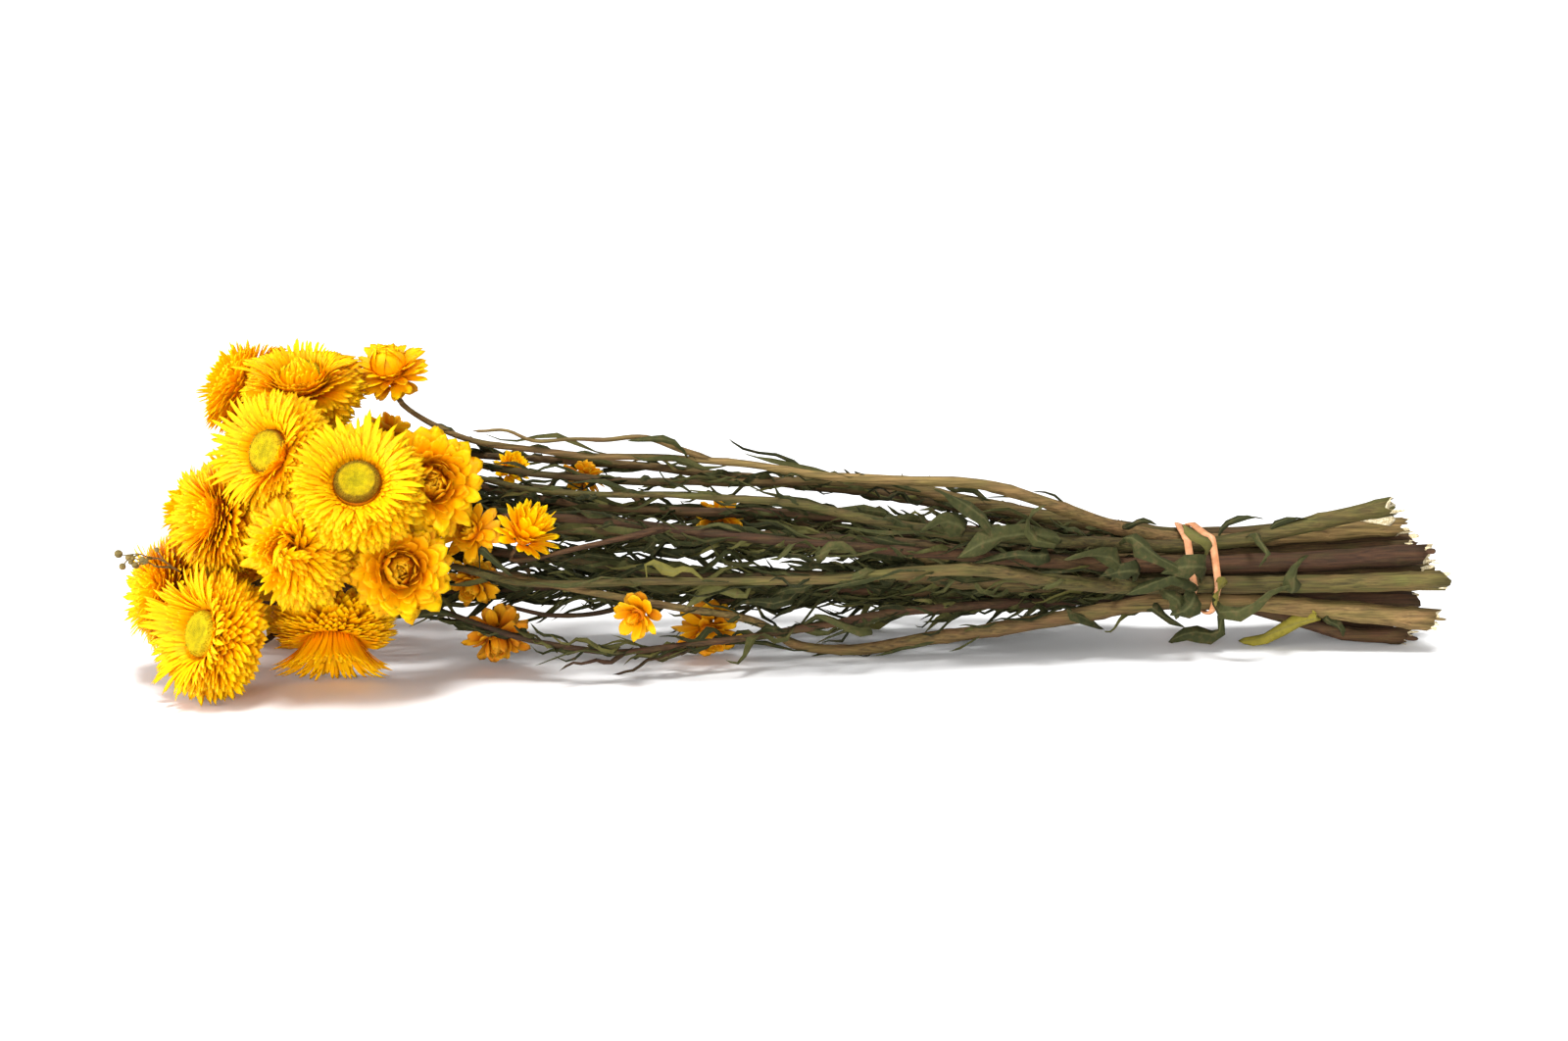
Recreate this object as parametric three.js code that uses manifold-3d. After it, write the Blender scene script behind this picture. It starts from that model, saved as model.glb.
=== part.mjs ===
// A tied bunch of dried strawflowers, lying on a table.
// Millimetres, +Z up. The stems run along X: flower heads at -X, cut ends at +X. The viewer's side is -Y.
// The layout below has its zero under the middle of the bunch. The finished group is moved so that
// its origin is the middle of the underside of its bounding box.

import * as THREE from "three";
import { mergeVertices } from "three/addons/utils/BufferGeometryUtils.js";
import Module from "manifold-3d";

const wasm = await Module();
wasm.setup();

// Driving dimensions of the bunch
const GAP = 0.3; // clearance between two pieces that touch in the real bunch
// Middle of the tied waist, and the stems' spacing in it
const TIE = { x: 150, z: 29.5, pitchY: 7.55, pitchZ: 6.7 };
// Radii at the foot and neck, how fast a limb thins, its sides and its longest step
const STEM = { foot: 4.1, neck: 1.5, taper: 1.6, sides: 5, longest: 32 };
const BRANCH = { foot: 1.5, neck: 1.0, taper: 1, sides: 4, longest: 60 };
const TWIG = { foot: 0.9, neck: 0.45, taper: 1, sides: 3, longest: 20 };
const BAND = { width: 2.8, thick: 1.1, corners: 20, spread: 4.8 };
// The disc of florets: each ring's share of its radius, and the heights of its notches and teeth
const DISC = { teeth: 10, middle: 1.3, rings: [[0.96, 0, 0], [1, 1.2, 1.6], [0.7, 1.6, 2.6]] };
// Leaves: size, the stretch of stem they grow on, how many places each may try, the room it needs,
// leaves on each stem, and how far one may stand above the highest stem
const LEAF = { length: 42, width: 7, keel: 1.3, from: 140, to: -104, tries: 9, margin: 0.35, each: 7, proud: 4 };
LEAF.outline = [[0.2, 0.55], [0.5, 1], [0.8, 0.62]]; // shares of the length and of the width there

// Flower heads: where the receptacle's middle is, which way the face looks (turn from the viewer's
// side towards +X, rise above level, in degrees), the radius over the longest bracts, and the form.
const HEADS = {
  bloom_front_high: { at: [-150, -58, 79], turn: -2, rise: 38, radius: 24.5, form: "open" },
  bloom_front_low: { at: [-204.5, -44, 24], turn: -52, rise: 18, radius: 25, form: "open" },
  bloom_front_mid: { at: [-172, -54, 54], turn: -12, rise: 8, radius: 21.5, form: "curled" },
  bloom_right_low: { at: [-137, -50, 47], turn: 8, rise: 12, radius: 19.5, form: "curled" },
  bloom_right_high: { at: [-126, -40, 75], turn: 14, rise: 12, radius: 20, form: "curled" },
  bloom_under_front: { at: [-161.5, -31.5, 18], turn: -4, rise: -52, radius: 24, form: "open" },
  bloom_left_high: { at: [-180.5, -36, 86], turn: -38, rise: 22, radius: 23.5, form: "open" },
  bloom_left_mid: { at: [-201.5, -26, 61.5], turn: -58, rise: 14, radius: 23, form: "full" },
  bloom_top_mid: { at: [-171, -8, 106], turn: -12, rise: 60, radius: 23, form: "open" },
  bloom_top_left: { at: [-194, 14, 100.5], turn: -108, rise: 34, radius: 21, form: "full" },
  bloom_top_right: { at: [-140, 2, 107], turn: -25, rise: 62, radius: 14.5, form: "cup" },
  bloom_tip_low: { at: [-221.5, -15, 31.5], turn: -72, rise: 10, radius: 23, form: "full" },
  bloom_tip_high: { at: [-212, 14, 56], turn: -100, rise: 26, radius: 19, form: "full" },
  bloom_tip_under: { at: [-211, 20, 19.5], turn: -118, rise: -4, radius: 20, form: "hidden" },
  bloom_back_high: { at: [-176, 35, 82], turn: 178, rise: 30, radius: 21, form: "back" },
  bloom_back_left: { at: [-196, 44, 54], turn: -142, rise: 10, radius: 21, form: "back" },
  bloom_back_mid: { at: [-152, 50, 44], turn: 168, rise: -4, radius: 21, form: "hidden" },
  bloom_back_low: { at: [-180, 41, 21.5], turn: -160, rise: 0, radius: 23.5, form: "back" },
  bloom_back_right: { at: [-127, 39, 57], turn: 152, rise: 8, radius: 18, form: "hidden" },
  small_bright: { at: [-93, -32, 55.5], turn: 60, rise: 58, radius: 13.5, form: "cup" },
  small_front: { at: [-113, -27, 54.5], turn: -24, rise: 20, radius: 12, form: "old" },
  small_middle: { at: [-113, -13, 31.5], turn: -20, rise: -28, radius: 11, form: "old" },
  small_hanging: { at: [-104.5, -16, 12], turn: 4, rise: -44, radius: 14, form: "old" },
  small_bud: { at: [-55, -39, 26], turn: -32, rise: -12, radius: 9, form: "cup" },
  small_floor: { at: [-28, -10, 10.5], turn: 8, rise: -36, radius: 14, form: "old" },
  small_high: { at: [-98, 11, 69], turn: 20, rise: 52, radius: 8, form: "cup" },
  small_rear: { at: [-71, 18, 65], turn: 150, rise: 55, radius: 9, form: "old" },
  small_far: { at: [-22, 22, 46], turn: 165, rise: 20, radius: 10, form: "old" },
  small_top: { at: [-142, 24, 81], turn: 158, rise: 34, radius: 10, form: "old" },
};

// Each form's layers of bracts, from the back to the face: how far a layer stands up from flat, in
// degrees, and how long its bracts are as a share of the radius.
const FORMS = {
  open: { bracts: 11, layers: [[-12, 0.9], [6, 1], [22, 0.88], [40, 0.62]], disc: true },
  full: { bracts: 11, layers: [[-10, 0.88], [8, 1], [27, 0.92], [50, 0.66]], disc: false },
  curled: { bracts: 11, layers: [[-14, 0.88], [5, 1], [24, 0.84], [58, 0.5]], disc: false },
  back: { bracts: 10, layers: [[-10, 0.92], [10, 1], [32, 0.76]], disc: true },
  hidden: { bracts: 10, layers: [[-10, 0.92], [12, 1], [44, 0.72]], disc: false },
  cup: { bracts: 8, layers: [[-4, 0.9], [30, 1], [66, 0.95]], disc: false },
  old: { bracts: 7, layers: [[-38, 0.82], [-6, 1], [34, 0.7]], disc: false },
};
// Shares of a head's radius. An open head is wider at the seat of its disc than a closed one.
const HEAD = { depth: 0.4, back: 0.15, waist: 0.29, openWaist: 0.36, seat: 0.04, disc: 0.33 };
// How a bract varies, where the notch beside it lies, and how far it may bend or shrink to stay clear
const BRACT = { notch: 0.46, skew: 0.22, lift: 5, stretch: 0.07, droop: 3, clear: 1.1, sink: 1.6 };
BRACT.bends = [0, 6, -6, 10];
BRACT.shares = [1, 0.93, 0.86, 0.79, 0.72, 0.65, 0.58, 0.5, 0.42, 0.34];

// Stems, from the cut end to the head. row and place are the stem's seat in the tied waist: rows count
// from the middle upwards, places from the middle away from the viewer. run is hand-placed points.
const STEMS = {
  stem_top_a: { row: 1.5, place: -1, cut: [223, -9, 53], head: "bloom_left_high",
    run: [[88, -24, 47], [40, -26, 53], [0, -26, 62], [-40, -25, 66], [-85, -18, 66], [-130, -8, 74]] },
  stem_top_b: { row: 1.5, place: 0, cut: [229, -2, 43.5], head: "bloom_top_right",
    run: [[116, -6, 48], [74, -8, 63], [17, -5, 67], [-29, -5, 74], [-85, -5, 78], [-118, -2, 84]] },
  stem_top_c: { row: 1.5, place: 1, cut: [226, 7, 44], head: "bloom_top_mid",
    run: [[96, 8, 48], [40, 10, 60], [-20, 8, 63], [-80, 3, 67], [-130, 4, 76]] },
  stem_high_a: { row: 0.5, place: -1.5, cut: [236, -14, 36], head: "bloom_front_high",
    run: [[92, -20, 38], [40, -27, 44], [-20, -30, 52], [-80, -20, 57], [-115, -20, 59]] },
  stem_high_b: { row: 0.5, place: -0.5, cut: [231, -5.5, 35.5], head: "bloom_left_mid",
    run: [[90, -11, 36], [40, -14, 44], [-20, -15, 48], [-80, -9, 50], [-130, -8, 57], [-165, -8, 59]] },
  stem_high_c: { row: 0.5, place: 0.5, cut: [234, 3, 36], head: "bloom_top_left",
    run: [[96, 5, 39], [40, 5, 48], [-20, 6, 52], [-80, 9, 56], [-130, 12, 68], [-160, 10, 77]] },
  stem_high_d: { row: 0.5, place: 1.5, cut: [222, 14, 37], head: "bloom_back_high",
    run: [[96, 24, 42], [40, 32, 52], [-20, 34, 60], [-80, 27, 68], [-125, 16, 74], [-156, 17, 71]] },
  stem_mid_a: { row: -0.5, place: -2, cut: [240, -19, 27], head: "bloom_right_low",
    run: [[110, -25, 30], [64, -33, 38], [14, -36, 37], [-50, -40, 38], [-95, -36, 38], [-122, -28, 43]] },
  stem_mid_b: { row: -0.5, place: -1, cut: [236, -9.5, 27], head: "bloom_tip_low",
    run: [[90, -12, 27], [40, -12, 31], [-20, -14, 33], [-80, -8, 39],
      [-115, -2, 41], [-150, -8, 40], [-180, -9, 36]] },
  stem_mid_c: { row: -0.5, place: 0, cut: [241, 0, 26.5], head: "bloom_tip_high",
    run: [[90, 0, 29], [40, -1, 36], [-20, 1, 42], [-80, 6, 46], [-130, 6, 52], [-180, 7, 54]] },
  stem_mid_d: { row: -0.5, place: 1, cut: [233, 9.5, 27], head: "bloom_back_left",
    run: [[90, 15, 33], [40, 18, 40], [-20, 17, 38], [-80, 20, 50], [-130, 18, 54]] },
  stem_mid_e: { row: -0.5, place: 2, cut: [228, 19, 27], head: "bloom_back_right",
    run: [[90, 29, 30], [40, 36, 36], [-20, 38, 42], [-80, 34, 49], [-112, 23, 53]] },
  stem_low_a: { row: -1.5, place: -1.5, cut: [238, -19, 12], head: "bloom_front_mid",
    run: [[88, -17, 14], [50, -11, 7], [22, -6, 2.2], [4, -7, 5],
      [-10, -12, 15], [-60, -27, 29], [-120, -18, 40]] },
  stem_low_b: { row: -1.5, place: -0.5, cut: [231, -8, 3.2], head: "bloom_under_front",
    run: [[208, -7.5, 5], [100, -6, 19], [40, -17, 19], [-15, -24, 13],
      [-70, -34, 12], [-120, -26, 24], [-146, -18, 34]] },
  stem_low_c: { row: -1.5, place: 0.5, cut: [236, 2.5, 14], head: "bloom_front_low",
    run: [[96, 5, 20], [40, 4, 22], [-20, 4, 25], [-80, 4, 26], [-130, 1, 26], [-168, -6, 27]] },
  stem_low_d: { row: -1.5, place: 1.5, cut: [229, 13, 3.2], head: "bloom_back_low",
    run: [[206, 12.5, 5], [96, 17, 17], [40, 23, 16], [-20, 26, 18],
      [-80, 22, 22], [-130, 14, 24], [-162, 18, 24]] },
};

// Side branches: the stem and the share of its run where the branch leaves, its own points, its head.
const BRANCHES = {
  stem_top_a: [{ at: 0.735, run: [[-112, -12, 65]], head: "bloom_right_high" }],
  stem_top_b: [
    { at: 0.55, run: [[-48, -6, 82.5], [-67, -6, 82], [-90, -6, 82.8], [-100, -7, 86.8], [-112, -8, 86.8]] },
  ],
  stem_top_c: [{ at: 0.63, run: [[-85, 8, 62]], head: "small_high" }],
  stem_high_a: [{ at: 0.55, run: [[-60, -30, 52]], head: "small_bright" }],
  stem_high_b: [{ at: 0.62, run: [[-100, -15, 47]], head: "small_front" }],
  stem_high_c: [{ at: 0.5, run: [[-55, 11, 58]], head: "small_rear" }],
  stem_high_d: [{ at: 0.76, run: [[-122, 18, 80]], head: "small_top" }],
  stem_mid_b: [{ at: 0.55, run: [[-92, -6, 33]], head: "small_middle" }],
  stem_mid_d: [{ at: 0.42, run: [[-5, 18, 41]], head: "small_far" }],
  stem_mid_e: [{ at: 0.74, run: [[-130, 24, 45]], head: "bloom_back_mid" }],
  stem_low_a: [{ at: 0.66, run: [[-38, -32, 26]], head: "small_bud" }],
  stem_low_b: [
    { at: 0.535, run: [[-48, -31, 7], [-64, -30, 2]] },
    { at: 0.58, run: [[-71, -37, 8.5], [-83, -35, 5]] },
  ],
  stem_low_c: [{ at: 0.5, run: [[-60, -3, 20], [-85, -6, 18]], head: "small_hanging" }],
  stem_low_d: [
    { at: 0.78, run: [[-150, 8, 20]], head: "bloom_tip_under" },
    { at: 0.42, run: [[-6, 14, 17]], head: "small_floor" },
  ],
};

const DEGREES = Math.PI / 180;
const vec = (p) => new THREE.Vector3(p[0], p[1], p[2]);

// A repeatable number from 0 to 1, and one from -spread to spread.
const draw = (a, b = 0, c = 0) => {
  const s = Math.sin(a * 12.9898 + b * 78.233 + c * 37.719) * 43758.5453;
  return s - Math.floor(s);
};
const vary = (spread, a, b, c) => spread * (2 * draw(a, b, c) - 1);

// A closed piece with the given number of columns round it: a lathed form, each of whose points is then
// moved to where place(ring, column) wants it. start and end close it. Columns run counter-clockwise as
// seen from the end.
function shaped(columns, rings, start, end, place) {
  const profile = [new THREE.Vector2(0, -1)];
  for (let ring = 0; ring < rings; ring++) profile.push(new THREE.Vector2(1, ring));
  profile.push(new THREE.Vector2(0, rings));
  return moved(new THREE.LatheGeometry(profile, columns), (p) => {
    const ring = Math.round(p.y);
    if (ring < 0) return start;
    if (ring === rings) return end;
    return place(ring, turnsOf(p.x, p.z, columns));
  });
}

// Which of the equal steps round a circle a point lies at, from 0.
function turnsOf(sine, cosine, steps) {
  return (Math.round((Math.atan2(sine, cosine) / (2 * Math.PI)) * steps) + steps) % steps;
}

// A geometry's closed skin with each of its points moved by a rule, as a manifold solid.
function moved(geometry, rule) {
  geometry.deleteAttribute("normal");
  geometry.deleteAttribute("uv");
  const skin = mergeVertices(geometry, 1e-3);
  const { position } = skin.attributes;
  const point = new THREE.Vector3();
  for (let i = 0; i < position.count; i++) {
    const to = rule(point.fromBufferAttribute(position, i));
    position.setXYZ(i, to.x, to.y, to.z);
  }
  const triVerts = new Uint32Array(skin.index.array);
  return new wasm.Manifold(new wasm.Mesh({ numProp: 3, vertProperties: position.array, triVerts }));
}

// A manifold solid as a three.js geometry.
function geometryOf(made) {
  const { vertProperties, triVerts, numProp } = made.getMesh();
  const position = new THREE.BufferAttribute(new Float32Array((vertProperties.length / numProp) * 3), 3);
  for (let i = 0; i < position.count; i++) {
    position.setXYZ(i, ...vertProperties.subarray(i * numProp, i * numProp + 3));
  }
  const geometry = new THREE.BufferGeometry();
  geometry.setAttribute("position", position);
  geometry.setIndex(new THREE.BufferAttribute(new Uint32Array(triVerts), 1));
  geometry.computeVertexNormals();
  return geometry;
}

// The way a head faces, as a unit vector.
function facing({ turn, rise }) {
  const level = Math.cos(rise * DEGREES);
  return new THREE.Vector3(
    Math.sin(turn * DEGREES) * level,
    -Math.cos(turn * DEGREES) * level,
    Math.sin(rise * DEGREES),
  );
}

// A head's own axes: across, up and face. Up is the steepest way in the plane of its bracts.
function axesOf(head) {
  const face = facing(head);
  const across = new THREE.Vector3(Math.cos(head.turn * DEGREES), Math.sin(head.turn * DEGREES), 0);
  return { across, up: new THREE.Vector3().crossVectors(face, across), face };
}

// The last two points of a stem, behind the head that it carries.
function neckPoints(head) {
  const face = facing(head);
  const foot = HEAD.depth * head.radius + GAP;
  return [
    vec(head.at).addScaledVector(face, -foot - 0.55 * head.radius),
    vec(head.at).addScaledVector(face, -foot),
  ];
}

// Where a stem passes through the tied waist.
function seat({ row, place }) {
  return new THREE.Vector3(TIE.x, place * TIE.pitchY, TIE.z + row * TIE.pitchZ);
}

function stemCurve(stem) {
  const beforeTie = stem.run.filter((p) => p[0] > TIE.x);
  const afterTie = stem.run.filter((p) => p[0] < TIE.x);
  return new THREE.CatmullRomCurve3([
    vec(stem.cut),
    ...beforeTie.map(vec),
    seat(stem),
    ...afterTie.map(vec),
    ...neckPoints(HEADS[stem.head]),
  ]);
}

function branchCurve(stem, branch) {
  const root = stemCurve(stem).getPoint(branch.at);
  const ending = branch.head ? neckPoints(HEADS[branch.head]) : [];
  return new THREE.CatmullRomCurve3([root, ...branch.run.map(vec), ...ending]);
}

// How thick a stem or branch is at a share of its run.
function radiusAt({ foot, neck, taper }, t) {
  return neck + (foot - neck) * (1 - t) ** taper;
}

// Shares of a curve's run: its own points, and one between two that lie far apart.
function stationsOf(curve, longest) {
  const { points } = curve;
  const last = points.length - 1;
  const stations = [0];
  for (let i = 1; i <= last; i++) {
    if (points[i].distanceTo(points[i - 1]) > longest) stations.push((i - 0.5) / last);
    stations.push(i / last);
  }
  return stations;
}

// A tapering tube along a curve. The rings' turning follows the curve without twist.
function tube(curve, limb) {
  let normal = new THREE.Vector3(0, 0, 1);
  const frames = stationsOf(curve, limb.longest).map((t) => {
    const tangent = curve.getTangent(t);
    normal = normal.clone().addScaledVector(tangent, -normal.dot(tangent)).normalize();
    const side = new THREE.Vector3().crossVectors(tangent, normal);
    return { middle: curve.getPoint(t), normal, side, radius: radiusAt(limb, t) };
  });
  return shaped(limb.sides, frames.length, curve.getPoint(0), curve.getPoint(1), (ring, column) => {
    const { middle, normal, side, radius } = frames[ring];
    const angle = (2 * Math.PI * (column + 0.5)) / limb.sides;
    return middle.clone()
      .addScaledVector(normal, radius * Math.cos(angle))
      .addScaledVector(side, radius * Math.sin(angle));
  });
}

// Points along a stem or branch with the radius there, for keeping bracts off them.
function pathSamples(curve, limb, owner) {
  const count = Math.ceil(curve.getLength() / 3);
  return Array.from({ length: count + 1 }, (_, i) => ({
    at: curve.getPoint(i / count),
    radius: radiusAt(limb, i / count),
    owner,
  }));
}

// How far a head reaches in a direction, as a flat round cushion.
function extent(head, direction) {
  const alongFace = Math.abs(facing(head).dot(direction));
  return head.radius * Math.sqrt(1 - alongFace ** 2) + 0.34 * head.radius * alongFace;
}
const middleOf = (head) => vec(head.at).addScaledVector(facing(head), -0.04 * head.radius);

// The plane that best parts two heads, facing the second, given from the first one's side. Heads that
// look the same way are parted along their faces where one lies in front of the other.
function partingPlane(head, other) {
  const apart = middleOf(other).sub(middleOf(head));
  const sideways = apart.clone().normalize();
  let best = { room: -Infinity };
  for (const face of [facing(head), facing(other), facing(head).add(facing(other)).normalize()]) {
    for (let blend = -1; blend <= 1; blend += 0.2) {
      const normal = sideways.clone().multiplyScalar(1 - Math.abs(blend));
      normal.addScaledVector(face, blend).normalize();
      const [near, far] = [extent(head, normal), extent(other, normal)];
      const room = apart.dot(normal) / (near + far);
      if (room > best.room) best = { room, normal, reach: apart.dot(normal) * (near / (near + far)) };
    }
  }
  return { normal: best.normal, reach: middleOf(head).dot(best.normal) + best.reach - 0.5 * GAP };
}

// What a head's bracts stay clear of: its neighbours' planes, the table and the stems that pass by.
function surroundings(name, samples) {
  const head = HEADS[name];
  const planes = [{ normal: new THREE.Vector3(0, 0, -1), reach: BRACT.sink }];
  for (const [other, neighbour] of Object.entries(HEADS)) {
    const apart = middleOf(head).distanceTo(middleOf(neighbour));
    if (other === name || apart > head.radius + neighbour.radius + 1) continue;
    const [first, second] = [name, other].sort();
    const plane = partingPlane(HEADS[first], HEADS[second]);
    if (first === name) planes.push(plane);
    else planes.push({ normal: plane.normal.clone().negate(), reach: -plane.reach - GAP });
  }
  const near = samples.filter((s) => s.owner !== name && s.at.distanceTo(vec(head.at)) < head.radius + 6);
  return (p) =>
    planes.every((plane) => p.dot(plane.normal) < plane.reach) &&
    near.every((s) => s.at.distanceTo(p) > s.radius + BRACT.clear);
}

// One flower head: a receptacle whose layers of bracts stand out as pointed, keeled fins. Every second
// column of a layer is a bract's tip, the others are the notches between bracts, and the next layer
// has its tips over the notches of the one below.
function bloom(name, seed, samples) {
  const head = HEADS[name];
  const { bracts, layers, disc } = FORMS[head.form];
  const seatShare = disc ? HEAD.openWaist : HEAD.waist;
  const { across, up, face } = axesOf(head);
  const isFree = surroundings(name, samples);
  const place = (angle, out, rise) =>
    vec(head.at)
      .addScaledVector(across, out * Math.cos(angle))
      .addScaledVector(up, out * Math.sin(angle))
      .addScaledVector(face, rise);
  const waistAt = (share) => head.radius * THREE.MathUtils.lerp(HEAD.back, seatShare, Math.sqrt(share));
  const heightAt = (share) => head.radius * THREE.MathUtils.lerp(-HEAD.depth, HEAD.seat, share);

  // The outer end of a layer at one column, bent or shortened until it is clear of all else
  const edge = (layer, column) => {
    const [stand, long] = layers[layer];
    const isTip = (column + layer) % 2 === 0;
    const angle = (Math.PI * (column + vary(BRACT.skew, seed, layer, column))) / bracts;
    const waist = waistAt(layer / layers.length);
    const root = heightAt((layer + 0.6) / layers.length);
    const full = head.radius * long * (1 + vary(BRACT.stretch, column, layer, seed)) - waist;
    const lean = stand + vary(isTip ? BRACT.lift : 1, seed, column, layer) - (isTip ? 0 : BRACT.droop);
    const reach = isTip ? full : full * BRACT.notch;
    const end = (share, bend) => {
      const slope = (lean + bend) * DEGREES;
      return place(angle, waist + share * reach * Math.cos(slope), root + share * reach * Math.sin(slope));
    };
    for (const share of BRACT.shares) {
      for (const bend of BRACT.bends) {
        if (isFree(end(share, bend)) && isFree(end(0.6 * share, bend))) return end(share, bend);
      }
    }
    return end(0.26, 0);
  };

  const rings = 2 * layers.length + 1;
  const [base, seat] = [place(0, 0, heightAt(0)), place(0, 0, heightAt(1))];
  const made = shaped(2 * bracts, rings, base, seat, (ring, column) => {
    if (ring % 2 === 1) return edge((ring - 1) / 2, column);
    const share = ring / (rings - 1);
    return place((Math.PI * column) / bracts, waistAt(share), heightAt(share));
  });
  return made.trimByPlane([0, 0, 1], 0);
}

// The disc of florets in an open head: a low cushion with a raised, toothed ring round its middle.
function floretDisc(head) {
  const { across, up, face } = axesOf(head);
  const floor = HEAD.seat * head.radius + GAP;
  const onAxis = (rise) => vec(head.at).addScaledVector(face, rise);
  return shaped(DISC.teeth, DISC.rings.length, onAxis(floor), onAxis(floor + DISC.middle), (ring, column) => {
    const [share, low, high] = DISC.rings[ring];
    const angle = (2 * Math.PI * column) / DISC.teeth;
    return onAxis(floor + (column % 2 ? low : high))
      .addScaledVector(across, share * HEAD.disc * head.radius * Math.cos(angle))
      .addScaledVector(up, share * HEAD.disc * head.radius * Math.sin(angle));
  });
}

// One turn of the rubber band, pulled tight round the stems' solids. Its inner face is the stems'
// hull, a little clear of them. It lies apart from the middle by spread on the viewer's side, and
// crosses the other turn at the back.
function bandTurn(stems, spread, clearance) {
  const slice = (x) => stems.trimByPlane([1, 0, 0], x - BAND.width).trimByPlane([-1, 0, 0], -x - BAND.width);
  const spokes = Array.from({ length: BAND.corners }, (_, k) => {
    const angle = (2 * Math.PI * k) / BAND.corners;
    const x = TIE.x + spread * (1.15 * Math.abs(Math.sin(angle / 2)) - 0.15);
    const out = new THREE.Vector3(0, Math.cos(angle), Math.sin(angle));
    return { out, at: furthest(slice(x), out).addScaledVector(out, clearance).setX(x) };
  });
  return moved(new THREE.TorusGeometry(2, 1, 4, BAND.corners), (p) => {
    const spoke = spokes[turnsOf(p.y, p.x, BAND.corners)];
    const outward = Math.hypot(p.x, p.y) - 2;
    return spoke.at.clone()
      .addScaledVector(spoke.out, outward + p.z > 0 ? BAND.thick : 0)
      .setX(spoke.at.x + (p.z > outward ? 0.5 : -0.5) * BAND.width);
  });
}

// The point of a solid that lies furthest in a direction.
function furthest(made, out) {
  const { vertProperties, numProp } = made.getMesh();
  let best = null;
  for (let i = 0; i < vertProperties.length; i += numProp) {
    const p = new THREE.Vector3(...vertProperties.subarray(i, i + 3));
    if (!best || p.dot(out) > best.dot(out)) best = p;
  }
  return best;
}

// Where a stem's curve crosses the plane at x.
function crossing(curve, x) {
  let [low, high] = [0, 1];
  for (let step = 0; step < 40; step++) {
    const t = (low + high) / 2;
    if (curve.getPoint(t).x > x) low = t;
    else high = t;
  }
  return curve.getPoint(low);
}

// One leaf: a narrow keeled blade that leaves the stem at a slant, bends back along it and twists.
// extra thickens it all round, for testing what it would touch.
function leafBlade(curve, seed, number, attempt, extra) {
  const share = (number + 0.5 + vary(0.3, seed, number, attempt)) / LEAF.each;
  const root = crossing(curve, THREE.MathUtils.lerp(LEAF.from, LEAF.to, share));
  const along = crossing(curve, root.x - 2).sub(root).normalize();
  const angle = 2.4 * number + 1.3 * attempt + vary(0.5, seed, attempt, number);
  const lift = new THREE.Vector3(0, 0, 1).addScaledVector(along, -along.z).normalize();
  const side = new THREE.Vector3().crossVectors(along, lift);
  const out = lift.clone().multiplyScalar(Math.cos(angle)).addScaledVector(side, Math.sin(angle));
  const wide = new THREE.Vector3().crossVectors(along, out);
  const shrink = 1 - 0.055 * attempt;
  const length = LEAF.length * shrink * (1 + vary(0.3, number, seed, 2));
  const width = LEAF.width * shrink * (1 + vary(0.28, number, seed, 3));
  const slant = (11 + 12 * draw(seed, number, attempt + 5)) * DEGREES;
  const back = 0.16 + vary(0.12, seed, number, 6);
  const sway = vary(0.16, seed, number, 7 + attempt);
  const twist = vary(0.7, seed, number, 8);
  const point = (s) =>
    root.clone()
      .addScaledVector(along, length * s * Math.cos(slant))
      .addScaledVector(out, length * (s * Math.sin(slant) - back * s * s))
      .addScaledVector(wide, length * sway * s * s);
  const sections = LEAF.outline.map(([s, full]) => {
    const heading = point(s + 0.05).sub(point(s - 0.05)).normalize();
    const across = wide.clone().applyAxisAngle(heading, twist * s);
    const keel = new THREE.Vector3().crossVectors(across, heading).normalize();
    const half = (width * full) / 2 + extra;
    const middle = point(s).addScaledVector(keel, -0.5 * LEAF.keel - extra);
    return [
      middle.clone().addScaledVector(keel, LEAF.keel + 2.2 * extra),
      middle.clone().addScaledVector(across, half),
      middle.clone().addScaledVector(across, -half),
    ];
  });
  const tip = point(1 + extra / length);
  return shaped(3, sections.length, root, tip, (ring, corner) => sections[ring][corner]);
}

// The build, in the order in which each piece makes room for the next
const curves = {};
const samples = [];
const solids = {};
Object.entries(STEMS).forEach(([name, stem]) => {
  curves[name] = stemCurve(stem);
  samples.push(...pathSamples(curves[name], STEM, stem.head));
  const limbs = [tube(curves[name], STEM)];
  for (const branch of BRANCHES[name] ?? []) {
    const curve = branchCurve(stem, branch);
    const size = branch.head ? BRANCH : TWIG;
    samples.push(...pathSamples(curve, size, branch.head));
    limbs.push(tube(curve, size));
  }
  solids[name] = wasm.Manifold.union(limbs).trimByPlane([0, 0, 1], 0);
});
const stemSolids = { ...solids };

Object.entries(HEADS).forEach(([name, head], i) => {
  solids[name] = bloom(name, i + 1, samples);
  if (FORMS[head.form].disc) solids[name.replace("bloom", "disc")] = floretDisc(head);
});

const tied = wasm.Manifold.union(Object.values(stemSolids));
solids.rubber_band = wasm.Manifold.union([
  bandTurn(tied, -BAND.spread, GAP + 0.2),
  bandTurn(tied, BAND.spread, GAP + 0.5),
]);

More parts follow.
